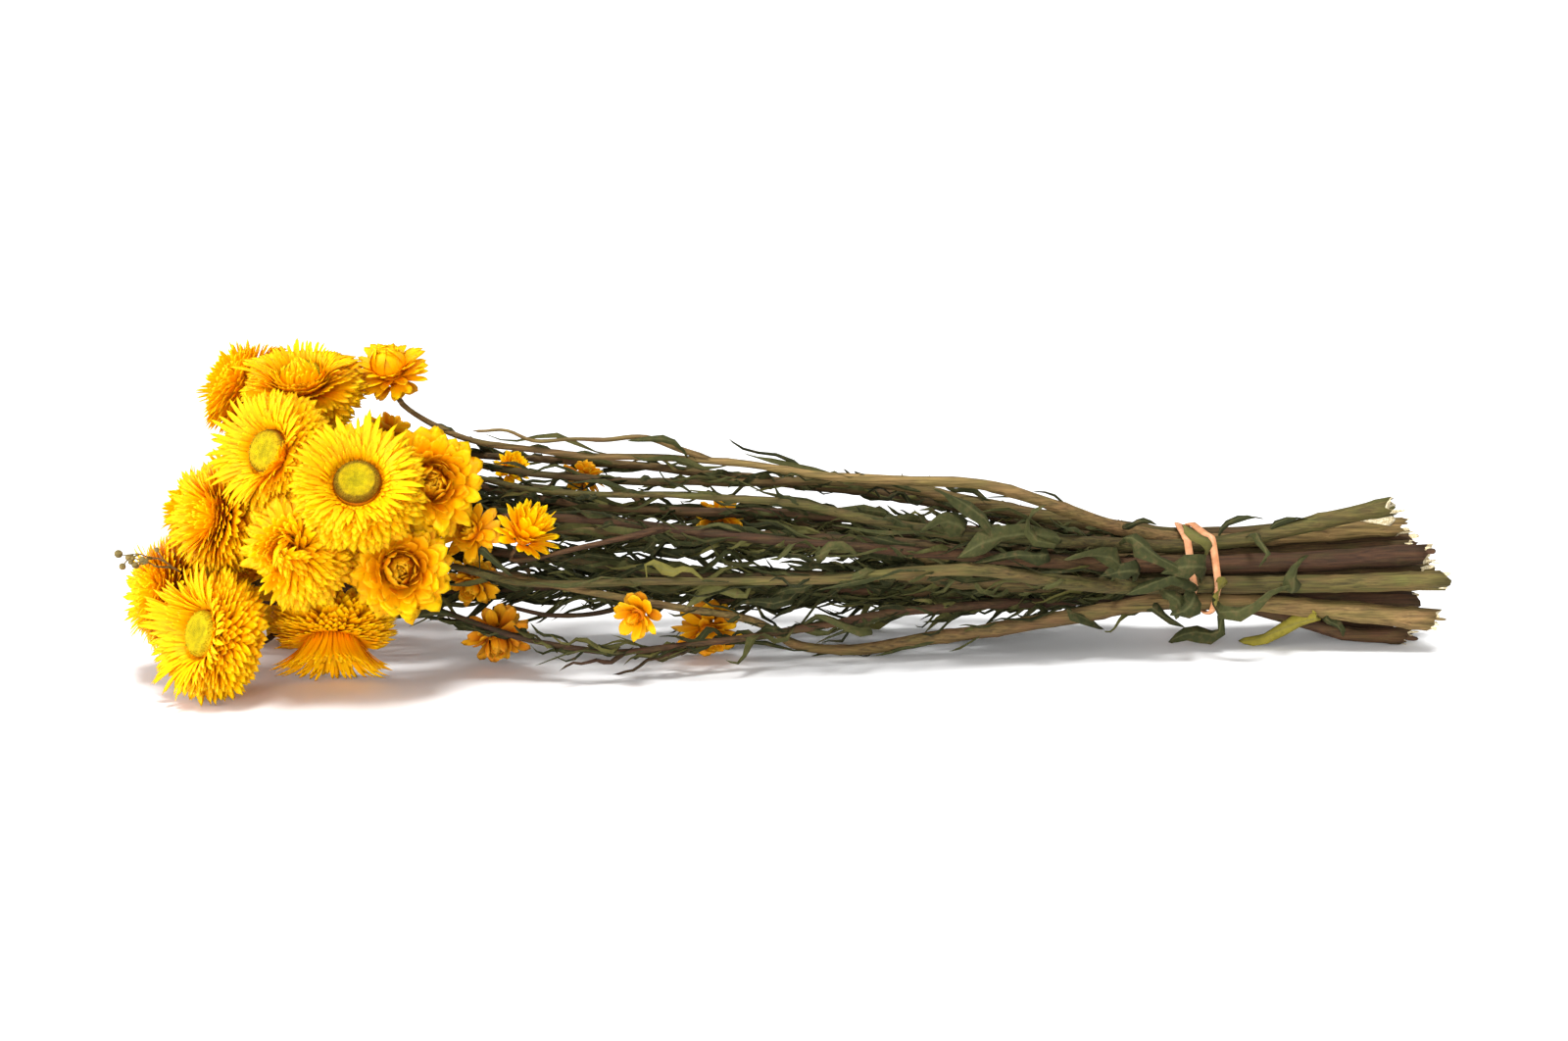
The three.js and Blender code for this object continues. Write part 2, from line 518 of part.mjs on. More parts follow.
const touches = (a, b) => {
  const [p, q] = [a.boundingBox(), b.boundingBox()];
  const apart = [0, 1, 2].some((k) => p.max[k] < q.min[k] || q.max[k] < p.min[k]);
  return !apart && !a.intersect(b).isEmpty();
};
const leaves = [];
Object.keys(STEMS).forEach((name, i) => {
  const others = Object.entries(solids).filter(([other]) => other !== name).map(([, s]) => s);
  for (let number = 0; number < LEAF.each; number++) {
    for (let attempt = 0; attempt < LEAF.tries; attempt++) {
      const room = leafBlade(curves[name], i + 1, number, attempt, LEAF.margin);
      const foreign = leaves.filter((leaf) => leaf.stem !== name).map((leaf) => leaf.room);
      const { min, max } = room.boundingBox();
      if (min[2] < 0.2 || max[2] > crossing(curves.stem_top_b, min[0]).z + LEAF.proud) continue;
      if ([...others, ...foreign].some((s) => touches(room, s))) continue;
      leaves.push({ stem: name, room, blade: leafBlade(curves[name], i + 1, number, attempt, 0) });
      break;
    }
  }
});
for (const name of Object.keys(STEMS)) {
  const own = leaves.filter((leaf) => leaf.stem === name).map((leaf) => leaf.blade);
  solids[name] = wasm.Manifold.union([stemSolids[name], ...own]);
}

// Materials, by what each piece is
const finish = (name, color, roughness) => {
  return new THREE.MeshStandardMaterial({ name, color, roughness, metalness: 0 });
};
const materials = {
  young: finish("yellow bracts", 0xf7c60a, 0.6),
  old: finish("orange bracts", 0xc47a12, 0.65),
  disc: finish("olive florets", 0xa8a01c, 0.85),
  stem: finish("dried stem and leaf", 0x57482c, 0.85),
  band: finish("tan rubber", 0xd79a70, 0.6),
};
function materialOf(name) {
  if (name in STEMS) return materials.stem;
  if (name in HEADS) return HEADS[name].form === "old" ? materials.old : materials.young;
  return name === "rubber_band" ? materials.band : materials.disc;
}

const bunch = new THREE.Group();
for (const [name, made] of Object.entries(solids)) {
  const mesh = new THREE.Mesh(geometryOf(made), materialOf(name));
  mesh.name = name;
  bunch.add(mesh);
}
const box = new THREE.Box3().setFromObject(bunch);
bunch.position.set(-(box.min.x + box.max.x) / 2, -(box.min.y + box.max.y) / 2, -box.min.z);

export default bunch;
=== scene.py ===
"""A tied bunch of dried strawflowers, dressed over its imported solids.

Layout lengths are millimetres, with the layout's zero under the middle of the bunch, as in the part's
own source. The last step of each piece moves them to the frame's place and to metres.
"""

import math

import bmesh
import bpy
import numpy as np
from mathutils import Matrix, Vector


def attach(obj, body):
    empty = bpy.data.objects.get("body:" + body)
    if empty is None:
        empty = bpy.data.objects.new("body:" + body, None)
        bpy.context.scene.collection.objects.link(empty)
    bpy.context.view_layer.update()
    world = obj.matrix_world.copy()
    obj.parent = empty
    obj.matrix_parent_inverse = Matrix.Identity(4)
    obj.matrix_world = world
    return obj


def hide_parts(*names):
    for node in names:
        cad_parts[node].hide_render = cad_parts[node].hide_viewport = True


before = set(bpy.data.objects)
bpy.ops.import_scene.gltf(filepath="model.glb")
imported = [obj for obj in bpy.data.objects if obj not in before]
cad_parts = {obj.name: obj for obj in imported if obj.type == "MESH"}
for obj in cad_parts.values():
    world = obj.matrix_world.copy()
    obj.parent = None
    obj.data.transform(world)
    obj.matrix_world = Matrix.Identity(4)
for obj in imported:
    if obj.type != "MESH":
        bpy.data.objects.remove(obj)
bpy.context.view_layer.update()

# Driving dimensions, as in the part
TIE = {"x": 150, "z": 29.5, "pitch_y": 7.55, "pitch_z": 6.7}
STEM = {"foot": 4.1, "neck": 1.5, "taper": 1.6}
BRANCH = {"foot": 1.5, "neck": 1.0, "taper": 1}
TWIG = {"foot": 0.9, "neck": 0.45, "taper": 1}
HEAD = {"depth": 0.4, "back": 0.15, "waist": 0.29, "open_waist": 0.36, "seat": 0.04, "disc": 0.33}
LEAF = {"length": 42, "width": 7, "from": 140, "to": -104, "tries": 9, "each": 7}
BAND = {"width": 2.8, "thick": 1.1, "spread": 4.8}
GAP = 0.3

MM = 0.001
FLOOR_CLEARANCE = 0.05
FLOOR_REACH = 9  # metres
FLOOR_PRESS = 0.3  # how far bracts may dip under the floor before they bend; they are laid on it
INTERLACE = 3.6  # how far tips of neighbouring heads reach between each other
STEM_ROOM = 0.9  # how far a bract stays clear of a stem
CUSHION = {"half_depth": 0.34, "sink": 0.04}  # the room that a head needs, as shares of its radius
# Over a head's middle no tip stands higher than top, and the limit falls away with four slopes
CROWN = {"top": 118, "slopes": ((0.22, 0.1), (-0.22, 0.1), (0, -0.3), (0, 0.3))}

BRACT_SIZES = {"thick": 0.16, "cup": 0.32, "cup_spread": 0.16, "twist": 0.35, "sway": 0.07}
# How uneven a head's outer bracts are: place in their row, lean in degrees, length, width and age
OUTER_UNEVEN = {"place": 0.35, "lean": 4, "length": 0.06, "width": 0.25, "age": 0.1}
INNER_UNEVEN = {"place": 0.35, "lean": 8, "length": 0.1, "width": 0.25, "age": 0.08}
# The slopes at root and tip, in radians, of a bract that is folded over its head's middle
OUTER_FOLD, INNER_FOLD = (1.3, 2.1), (1.6, 3.0)
CLOSED_FLORETS = {"count": 230, "reach": 0.8, "sink": 0.3, "tall": 0.55, "uneven": 0.12, "thick": 0.3}
OPEN_FLORETS = {"sink": 0.4, "tall": 0.85, "uneven": 0.4, "thick": 0.26, "splay": 0.04}
OPEN_RINGS = ((0.81, 44), (0.87, 46), (0.93, 48))  # each ring's share of the radius, and its florets
GOLDEN_ANGLE = 2.39996

STEM_COLUMNS = 14  # points round a stem; every second one is on a rib
RIBS = {"height": 0.08, "oval": 0.07}
DRIED = {"share": 0.7, "from": 0.45}  # how thin a limb has dried beside its solid, and from where on
NODES = {"spacing": 18, "more": 9, "swell": 0.13, "half_length": 1.6}
CROOK = {"long": (17, 0.3), "short": (6.3, 0.16)}  # waves in mm: run for one radian, and height
TORN = 1.4  # how unevenly a stem's cut end is torn
SPLINTER = {"each": 9, "length": 3.8, "width": 1.8, "thick": 0.3}
FLAP = {"from": 0.02, "length": 14, "width": 5.4, "drop": 2.6, "thick": 0.6}
TWIG_GIRTH = 1.3  # how thick a bare twig is beside its solid, as STEM_TONES says for stems
# Main leaves have rolled in to a share of their flat width, more on stems with few small leaves
ROLLED_IN = {"bare": 0.36, "leafy": 0.66, "leafy_from": 100}
# Small leaves, rolled nearly shut, of which most stems have dozens
SHRIVELLED = {"from": 140, "to": -120, "length": 22, "width": 3.2, "crowding": 1.25}
# A dried leaf's waves as a share of its length, its edge's as a share of its width, twist in radians
CRUMPLE = {"wave": 0.045, "edge": 0.16, "twist": 1.6, "thick": 0.35}
CURLED_WIDTH = 1.3  # how much wider a curled leaf is than the strip of it that faces the viewer
STALK = {"foot": 0.42, "neck": 0.26, "taper": 1}
SEED_TONE = (0.55, 0.85, 1)
# The band's skin: steps round a turn, corners of its section, lean in radians, waver and shift in mm
BAND_FORM = {"steps": 72, "corners": 8, "lean": 0.35, "waver": 0.35, "shift": 2.2}

# Suns: name, strength, spread, turn from the viewer's side towards +X, and rise, angles in degrees
SUNS = (("overhead", 3.2, 18, 0, 77), ("front", 2.3, 26, -15, 11), ("left", 3.0, 26, -75, 11))
SKY = 0.46  # strength of the plain white light from all sides
# A 70 mm lens 1.11 m from a point 50 mm above the middle of the bunch, so that a pixel of the
# 1600 x 1062 picture is 0.356 mm there
VIEW = {"lens": 70, "sensor": 36, "from": 1.1076, "over": 50, "turn": -5, "rise": 13, "far": 50}

# Flower heads: middle, turn from the viewer's side towards +X, rise above level, radius, form
HEADS = {
    "bloom_front_high": ((-150, -58, 79), -2, 38, 24.5, "open"),
    "bloom_front_low": ((-204.5, -44, 24), -52, 18, 25, "open"),
    "bloom_front_mid": ((-172, -54, 54), -12, 8, 21.5, "folded"),
    "bloom_right_low": ((-137, -50, 47), 8, 12, 19.5, "curled"),
    "bloom_right_high": ((-126, -40, 75), 14, 12, 20, "curled"),
    "bloom_under_front": ((-161.5, -31.5, 18), -4, -52, 24, "flat"),
    "bloom_left_high": ((-180.5, -36, 86), -38, 22, 23.5, "open"),
    "bloom_left_mid": ((-201.5, -26, 61.5), -58, 14, 23, "full"),
    "bloom_top_mid": ((-171, -8, 106), -12, 60, 23, "flat"),
    "bloom_top_left": ((-194, 14, 100.5), -108, 34, 21, "full"),
    "bloom_top_right": ((-140, 2, 107), -25, 62, 14.5, "core"),
    "bloom_tip_low": ((-221.5, -15, 31.5), -72, 10, 23, "full"),
    "bloom_tip_high": ((-212, 14, 56), -100, 26, 19, "full"),
    "bloom_tip_under": ((-211, 20, 19.5), -118, -4, 20, "hidden"),
    "bloom_back_high": ((-176, 35, 82), 178, 30, 21, "back"),
    "bloom_back_left": ((-196, 44, 54), -142, 10, 21, "back"),
    "bloom_back_mid": ((-152, 50, 44), 168, -4, 21, "hidden"),
    "bloom_back_low": ((-180, 41, 21.5), -160, 0, 23.5, "back"),
    "bloom_back_right": ((-127, 39, 57), 152, 8, 18, "hidden"),
    "small_bright": ((-93, -32, 55.5), 60, 58, 13.5, "spiky"),
    "small_front": ((-113, -27, 54.5), -24, 20, 12, "old"),
    "small_middle": ((-113, -13, 31.5), -20, -28, 11, "old"),
    "small_hanging": ((-104.5, -16, 12), 4, -44, 14, "old"),
    "small_bud": ((-55, -39, 26), -32, -12, 9, "tulip"),
    "small_floor": ((-28, -10, 10.5), 8, -36, 14, "old"),
    "small_high": ((-98, 11, 69), 20, 52, 8, "spiky"),
    "small_rear": ((-71, 18, 65), 150, 55, 9, "old"),
    "small_far": ((-22, 22, 46), 165, 20, 10, "old"),
    "small_top": ((-142, 24, 81), 158, 34, 10, "old"),
}

# Each form: its rows of bracts from the back to the face, as (stand from flat in degrees, length as a
# share of the radius), with more rows between them. rows and count are the rows made and the bracts in
# each; broad and fine are the first and last row's width as a share of the radius; arch is how far a
# bract bends outwards. heart names the rows inside the last one. age is how orange-brown the bracts have
# dried, back is how much more the outermost row has, and core how much more the heart has, rising to its
# inner rows: partly its own browner colour and partly painted shade deep in a curled heart. unruly is how
# unevenly the bracts have curled, blunt how rounded the outer ones are, and lemon how greenish they are.
FORMS = {
    "open": {
        "layers": [
            (-12, 0.9), (0, 0.97), (8, 1), (14, 0.99), (19, 0.95), (24, 0.9), (28, 0.84), (32, 0.77),
        ],
        "rows": 10, "count": 54, "broad": 0.15, "fine": 0.1, "arch": 40, "heart": "disc",
        "age": 0.0, "back": 0.2, "unruly": 0.35, "blunt": 0.8,
    },
    "flat": {
        "layers": [(-16, 0.9), (-6, 0.97), (1, 1), (6, 0.98), (10, 0.93), (14, 0.86), (18, 0.77)],
        "rows": 10, "count": 52, "broad": 0.15, "fine": 0.1, "arch": 34, "heart": "disc",
        "age": 0.0, "back": 0.2, "unruly": 0.4, "blunt": 0.8,
    },
    "full": {
        "layers": [(-10, 0.88), (2, 0.96), (11, 1), (19, 0.97), (28, 0.9), (38, 0.8), (48, 0.7)],
        "rows": 10, "count": 48, "broad": 0.16, "fine": 0.1, "arch": 36, "heart": "dome",
        "age": 0.0, "back": 0.2, "unruly": 0.4, "blunt": 0.6,
    },
    "folded": {
        "layers": [(-12, 0.88), (1, 0.99), (13, 0.97), (24, 0.88), (36, 0.76)],
        "rows": 9, "count": 44, "broad": 0.17, "fine": 0.11, "arch": 38, "heart": "fold",
        "age": 0.02, "back": 0.25, "unruly": 0.4, "blunt": 0.5,
    },
    "curled": {
        "layers": [(-12, 0.9), (2, 1), (15, 0.97), (30, 0.84)],
        "rows": 4, "count": 14, "broad": 0.36, "fine": 0.32, "arch": 22, "heart": "rose",
        "age": 0.02, "back": 0.2, "unruly": 1.2, "blunt": 0.15, "core": 0.4,
    },
    "back": {
        "layers": [(-10, 0.92), (2, 0.99), (12, 1), (22, 0.9), (32, 0.78)],
        "rows": 9, "count": 46, "broad": 0.14, "fine": 0.085, "arch": 40, "heart": "disc",
        "age": 0.05, "back": 0.25, "unruly": 0.6, "blunt": 0.8,
    },
    "hidden": {
        "layers": [(-10, 0.92), (3, 0.99), (16, 0.98), (30, 0.86), (44, 0.72)],
        "rows": 9, "count": 44, "broad": 0.145, "fine": 0.09, "arch": 36, "heart": "dome",
        "age": 0.05, "back": 0.25, "unruly": 0.6, "blunt": 0.8,
    },
    "core": {
        "layers": [(-22, 0.66), (4, 0.96), (18, 1), (34, 1)],
        "rows": 4, "count": 15, "broad": 0.27, "fine": 0.24, "arch": 22, "heart": "egg",
        "age": 0.04, "back": 0.6, "unruly": 0.8, "blunt": 0.1,
    },
    "spiky": {
        "layers": [(6, 0.82), (24, 1), (42, 1), (58, 0.98), (72, 0.95)],
        "rows": 5, "count": 11, "broad": 0.3, "fine": 0.24, "arch": 14, "heart": "tuft",
        "age": -0.1, "back": 0.1, "unruly": 0.8, "blunt": 0.0, "lemon": 0.9,
    },
    "tulip": {
        "layers": [(6, 0.95), (26, 1.15), (50, 1.15)],
        "rows": 3, "count": 6, "broad": 0.52, "fine": 0.44, "arch": 8, "heart": "bud",
        "age": 0.4, "back": 0.4, "unruly": 0.8, "blunt": 0.1,
    },
    "old": {
        "layers": [(-40, 0.8), (-14, 0.98), (10, 1), (38, 0.72)],
        "rows": 4, "count": 9, "broad": 0.38, "fine": 0.3, "arch": 18, "heart": "closed",
        "age": 0.7, "back": 0.2, "unruly": 1.4, "blunt": 0.1,
    },
}

# The rows inside the last layer: root's distance from the axis as a share of the waist, slope at the
# root, slope at the tip, length as a share of the radius, bracts in the row, width as a share
HEARTS = {
    "disc": [
        (0.97, 60, 6, 0.7, 44, 0.075), (0.98, 66, 12, 0.58, 44, 0.07), (0.99, 74, 20, 0.42, 44, 0.06),
        (1.0, 82, 40, 0.26, 44, 0.055),
    ],
    "dome": [
        (0.95, 64, 24, 0.62, 36, 0.085), (0.84, 70, 42, 0.58, 32, 0.085), (0.68, 76, 62, 0.52, 27, 0.085),
        (0.5, 82, 84, 0.46, 20, 0.085), (0.32, 86, 104, 0.42, 13, 0.08), (0.14, 90, 118, 0.38, 7, 0.08),
    ],
    "fold": [
        (0.95, 58, 8, 0.68, 36, 0.1), (0.84, 62, 12, 0.64, 32, 0.1), (0.66, 66, 18, 0.6, 26, 0.1),
        (0.46, 70, 26, 0.55, 20, 0.1), (0.24, 76, 34, 0.5, 12, 0.1),
    ],
    "rose": [
        (1.25, 52, 24, 0.62, 13, 0.3), (1.15, 56, 56, 0.56, 12, 0.27), (1.05, 60, 92, 0.54, 12, 0.25),
        (0.9, 66, 116, 0.5, 11, 0.23), (0.72, 72, 128, 0.47, 10, 0.22), (0.52, 78, 126, 0.44, 9, 0.2),
        (0.34, 84, 116, 0.42, 7, 0.18), (0.18, 88, 104, 0.4, 5, 0.16), (0.06, 90, 96, 0.38, 3, 0.15),
    ],
    "egg": [
        (1.15, 48, 158, 0.98, 11, 0.34), (0.95, 58, 150, 0.92, 10, 0.34), (0.66, 72, 140, 0.86, 8, 0.32),
        (0.36, 82, 126, 0.8, 6, 0.3), (0.12, 90, 112, 0.74, 3, 0.26),
    ],
    "tuft": [(0.6, 82, 84, 0.8, 9, 0.16), (0.3, 88, 90, 0.78, 6, 0.15), (0.1, 90, 94, 0.74, 3, 0.14)],
    "bud": [(0.5, 84, 112, 0.8, 6, 0.4), (0.2, 88, 112, 0.74, 4, 0.34)],
    "closed": [(0.8, 66, 112, 0.5, 9, 0.3), (0.5, 78, 124, 0.46, 6, 0.28), (0.2, 88, 124, 0.4, 3, 0.24)],
}

# Where a head's inner bracts are folded over its middle: the direction they grow in, in degrees from
# across towards up, how far to each side of it, how many of the last rows, and how far they lean
FOLDS = {
    "bloom_top_mid": (-80, 90, 8, 0.7),
    "bloom_left_high": (-35, 60, 4, 0.35),
    "bloom_front_mid": (160, 95, 9, 1.0),
    "bloom_front_low": (150, 40, 4, 0.3),
    "bloom_under_front": (90, 115, 4, 0.4),
}

# Where a head's bracts stay short: the same direction and spread, and the share of their length
SHORTENED = {"bloom_under_front": (-90, 85, 0.5), "bloom_front_mid": (-140, 35, 0.7)}

# How ripe a disc is: at 1 its rim is dark with open florets, lower ones are paler
RIPENESS = {"bloom_front_low": 0.55, "bloom_left_high": 0.85, "bloom_top_mid": 0.8}

# How much more a head's bracts have aged than its form says
AGED = {
    "bloom_right_high": 0.06, "bloom_right_low": 0.08, "bloom_front_mid": 0.02, "bloom_top_left": 0.04,
    "bloom_top_mid": 0.04, "bloom_tip_low": 0.03, "bloom_back_left": 0.08,
    "bloom_tip_under": 0.15, "small_floor": -0.05, "small_hanging": 0.25, "small_front": -0.3,
}

# Stems: row and place in the tied waist, cut end, head, listed points between
STEMS = {
    "stem_top_a": (1.5, -1, (223, -9, 53), "bloom_left_high",
        [(88, -24, 47), (40, -26, 53), (0, -26, 62), (-40, -25, 66), (-85, -18, 66), (-130, -8, 74)]),
    "stem_top_b": (1.5, 0, (229, -2, 43.5), "bloom_top_right",
        [(116, -6, 48), (74, -8, 63), (17, -5, 67), (-29, -5, 74), (-85, -5, 78), (-118, -2, 84)]),
    "stem_top_c": (1.5, 1, (226, 7, 44), "bloom_top_mid",
        [(96, 8, 48), (40, 10, 60), (-20, 8, 63), (-80, 3, 67), (-130, 4, 76)]),
    "stem_high_a": (0.5, -1.5, (236, -14, 36), "bloom_front_high",
        [(92, -20, 38), (40, -27, 44), (-20, -30, 52), (-80, -20, 57), (-115, -20, 59)]),
    "stem_high_b": (0.5, -0.5, (231, -5.5, 35.5), "bloom_left_mid",
        [(90, -11, 36), (40, -14, 44), (-20, -15, 48), (-80, -9, 50), (-130, -8, 57), (-165, -8, 59)]),
    "stem_high_c": (0.5, 0.5, (234, 3, 36), "bloom_top_left",
        [(96, 5, 39), (40, 5, 48), (-20, 6, 52), (-80, 9, 56), (-130, 12, 68), (-160, 10, 77)]),
    "stem_high_d": (0.5, 1.5, (222, 14, 37), "bloom_back_high",
        [(96, 24, 42), (40, 32, 52), (-20, 34, 60), (-80, 27, 68), (-125, 16, 74), (-156, 17, 71)]),
    "stem_mid_a": (-0.5, -2, (240, -19, 27), "bloom_right_low",
        [(110, -25, 30), (64, -33, 38), (14, -36, 37), (-50, -40, 38), (-95, -36, 38),
         (-122, -28, 43)]),
    "stem_mid_b": (-0.5, -1, (236, -9.5, 27), "bloom_tip_low",
        [(90, -12, 27), (40, -12, 31), (-20, -14, 33), (-80, -8, 39), (-115, -2, 41), (-150, -8, 40),
         (-180, -9, 36)]),
    "stem_mid_c": (-0.5, 0, (241, 0, 26.5), "bloom_tip_high",
        [(90, 0, 29), (40, -1, 36), (-20, 1, 42), (-80, 6, 46), (-130, 6, 52), (-180, 7, 54)]),
    "stem_mid_d": (-0.5, 1, (233, 9.5, 27), "bloom_back_left",
        [(90, 15, 33), (40, 18, 40), (-20, 17, 38), (-80, 20, 50), (-130, 18, 54)]),
    "stem_mid_e": (-0.5, 2, (228, 19, 27), "bloom_back_right",
        [(90, 29, 30), (40, 36, 36), (-20, 38, 42), (-80, 34, 49), (-112, 23, 53)]),
    "stem_low_a": (-1.5, -1.5, (238, -19, 12), "bloom_front_mid",
        [(88, -17, 14), (50, -11, 7), (22, -6, 2.2), (4, -7, 5), (-10, -12, 15), (-60, -27, 29),
         (-120, -18, 40)]),
    "stem_low_b": (-1.5, -0.5, (231, -8, 3.2), "bloom_under_front",
        [(208, -7.5, 5), (100, -6, 19), (40, -17, 19), (-15, -24, 13), (-70, -34, 12), (-120, -26, 24),
         (-146, -18, 34)]),
    "stem_low_c": (-1.5, 0.5, (236, 2.5, 14), "bloom_front_low",
        [(96, 5, 20), (40, 4, 22), (-20, 4, 25), (-80, 4, 26), (-130, 1, 26), (-168, -6, 27)]),
    "stem_low_d": (-1.5, 1.5, (229, 13, 3.2), "bloom_back_low",
        [(206, 12.5, 5), (96, 17, 17), (40, 23, 16), (-20, 26, 18), (-80, 22, 22), (-130, 14, 24),
         (-162, 18, 24)]),
}

# Side branches: the share of the stem's run where it leaves, its own points, its head if it has one
BRANCHES = {
    "stem_top_a": [(0.735, [(-112, -12, 65)], "bloom_right_high")],
    "stem_top_b": [
        (0.55, [(-48, -6, 82.5), (-67, -6, 82), (-90, -6, 82.8), (-100, -7, 86.8), (-112, -8, 86.8)],
         None),
    ],
    "stem_top_c": [(0.63, [(-85, 8, 62)], "small_high")],
    "stem_high_a": [(0.55, [(-60, -30, 52)], "small_bright")],
    "stem_high_b": [(0.62, [(-100, -15, 47)], "small_front")],
    "stem_high_c": [(0.5, [(-55, 11, 58)], "small_rear")],
    "stem_high_d": [(0.76, [(-122, 18, 80)], "small_top")],
    "stem_mid_b": [(0.55, [(-92, -6, 33)], "small_middle")],
    "stem_mid_d": [(0.42, [(-5, 18, 41)], "small_far")],
    "stem_mid_e": [(0.74, [(-130, 24, 45)], "bloom_back_mid")],
    "stem_low_a": [(0.66, [(-38, -32, 26)], "small_bud")],
    "stem_low_b": [
        (0.535, [(-48, -31, 7), (-64, -30, 2)], None),
        (0.58, [(-71, -37, 8.5), (-83, -35, 5)], None),
    ],
    "stem_low_c": [(0.5, [(-60, -3, 20), (-85, -6, 18)], "small_hanging")],
    "stem_low_d": [(0.78, [(-150, 8, 20)], "bloom_tip_under"), (0.42, [(-6, 14, 17)], "small_floor")],
}

# How olive each stem is, from 0, purple brown, to 1, green, how light, and how thick beside its solid
STEM_TONES = {
    "stem_top_a": (0.75, 0.42, 0.76), "stem_top_b": (0.25, 0.8, 0.82), "stem_top_c": (0.45, 0.5, 0.88),
    "stem_high_a": (0.05, 0.3, 0.9), "stem_high_b": (0.35, 0.4, 0.86), "stem_high_c": (0.2, 0.35, 0.86),
    "stem_high_d": (0.3, 0.45, 0.86), "stem_mid_a": (0.7, 0.52, 0.88), "stem_mid_b": (0.4, 0.35, 0.86),
    "stem_mid_c": (0.55, 0.6, 0.88), "stem_mid_d": (0.3, 0.45, 0.86), "stem_mid_e": (0.4, 0.5, 0.86),
    "stem_low_a": (0.3, 0.68, 0.9), "stem_low_b": (0.1, 0.25, 0.72), "stem_low_c": (0.15, 0.25, 0.9),
    "stem_low_d": (0.1, 0.35, 0.88),
}

# The small leaves on each stem, and how long they are; bare stems have few, and thin main leaves too
LEAFINESS = {
    "stem_top_a": (30, 0.8), "stem_top_b": (10, 0.6), "stem_top_c": (60, 0.8), "stem_high_a": (34, 0.8),
    "stem_high_b": (110, 1), "stem_high_c": (110, 1), "stem_high_d": (90, 0.9), "stem_mid_a": (12, 0.7),
    "stem_mid_b": (190, 1.2), "stem_mid_c": (200, 1.2), "stem_mid_d": (150, 1.1), "stem_mid_e": (100, 1),
    "stem_low_a": (16, 0.7), "stem_low_b": (80, 0.9), "stem_low_c": (250, 1.5), "stem_low_d": (200, 1.5),
}

UP = np.array([0.0, 0.0, 1.0])


def draw(a, b=0, c=0):
    """A repeatable number from 0 to 1."""
    s = math.sin(a * 12.9898 + b * 78.233 + c * 37.719) * 43758.5453
    return s - math.floor(s)


def vary(spread, a, b=0, c=0):
    """A repeatable number from -spread to spread."""
    return spread * (2 * draw(a, b, c) - 1)


def unit(v):
    return v / np.linalg.norm(v)


def blend(a, b, share):
    return a + (b - a) * share


def tangents_of(line):
    tangents = np.gradient(line, axis=0)
    return tangents / np.linalg.norm(tangents, axis=1)[:, None]


def mesh_of(name, bm):
    """A mesh with what has been built in bm."""
    mesh = bpy.data.meshes.new(name)
    bm.to_mesh(mesh)
    bm.free()
    return mesh


def put(name, data):
    """A new object in the scene."""
    made = bpy.data.objects.new(name, data)
    bpy.context.scene.collection.objects.link(made)
    return made


def spline(points):
    """The centripetal Catmull-Rom spline through points, as a function of the share of its run."""
    points = [np.array(p, float) for p in points]
    last = len(points) - 1

    def at(t):
        i = min(int(last * t), last - 1)
        w = last * t - i
        b, c = points[i], points[i + 1]
        a = points[i - 1] if i > 0 else 2 * b - c
        d = points[i + 2] if i + 2 <= last else 2 * c - b
        first, middle, second = (math.sqrt(np.linalg.norm(q - p)) for p, q in ((a, b), (b, c), (c, d)))
        start = ((b - a) / first - (c - a) / (first + middle) + (c - b) / middle) * middle
        end = ((c - b) / middle - (d - b) / (middle + second) + (d - c) / second) * middle
        return b + start * w + (3 * (c - b) - 2 * start - end) * w**2 + (2 * (b - c) + start + end) * w**3

    return at


def facing(turn, rise):
    """The direction at a turn from the viewer's side towards +X and a rise above level, in degrees."""
    turn, rise = math.radians(turn), math.radians(rise)
    return np.array([math.sin(turn) * math.cos(rise), -math.cos(turn) * math.cos(rise), math.sin(rise)])


def head_axes(head):
    """A head's across, up and face."""
    face = facing(head[1], head[2])
    turn = math.radians(head[1])
    across = np.array([math.cos(turn), math.sin(turn), 0.0])
    return across, np.cross(face, across), face


def neck_points(head):
    """The last two points of a stem, behind the head that it carries."""
    face = head_axes(head)[2]
    foot = HEAD["depth"] * head[3] + GAP
    return [np.array(head[0]) - face * (foot + 0.55 * head[3]), np.array(head[0]) - face * foot]


def stem_curve(stem):
    row, place, cut, head, run = stem
    seat = (TIE["x"], place * TIE["pitch_y"], TIE["z"] + row * TIE["pitch_z"])
    before = [p for p in run if p[0] > TIE["x"]]
    after = [p for p in run if p[0] < TIE["x"]]
    return spline([cut, *before, seat, *after, *neck_points(HEADS[head])])


def branch_curve(stem, branch):
    at, run, head = branch
    return spline([stem_curve(stem)(at), *run, *(neck_points(HEADS[head]) if head else [])])


def radius_at(limb, t):
    return limb["neck"] + (limb["foot"] - limb["neck"]) * (1 - t) ** limb["taper"]


def share_at(curve, x):
    """The share of a stem's run at which it crosses the plane at x."""
    low, high = 0.0, 1.0
    for _ in range(40):
        t = (low + high) / 2
        if curve(t)[0] > x:
            low = t
        else:
            high = t
    return low


def crossing(curve, x):
    """Where a stem's curve crosses the plane at x."""
    return curve(share_at(curve, x))


BLADE_COLUMNS = (4, 8)  # skins with this many columns are thin blades: their side edges are sharp


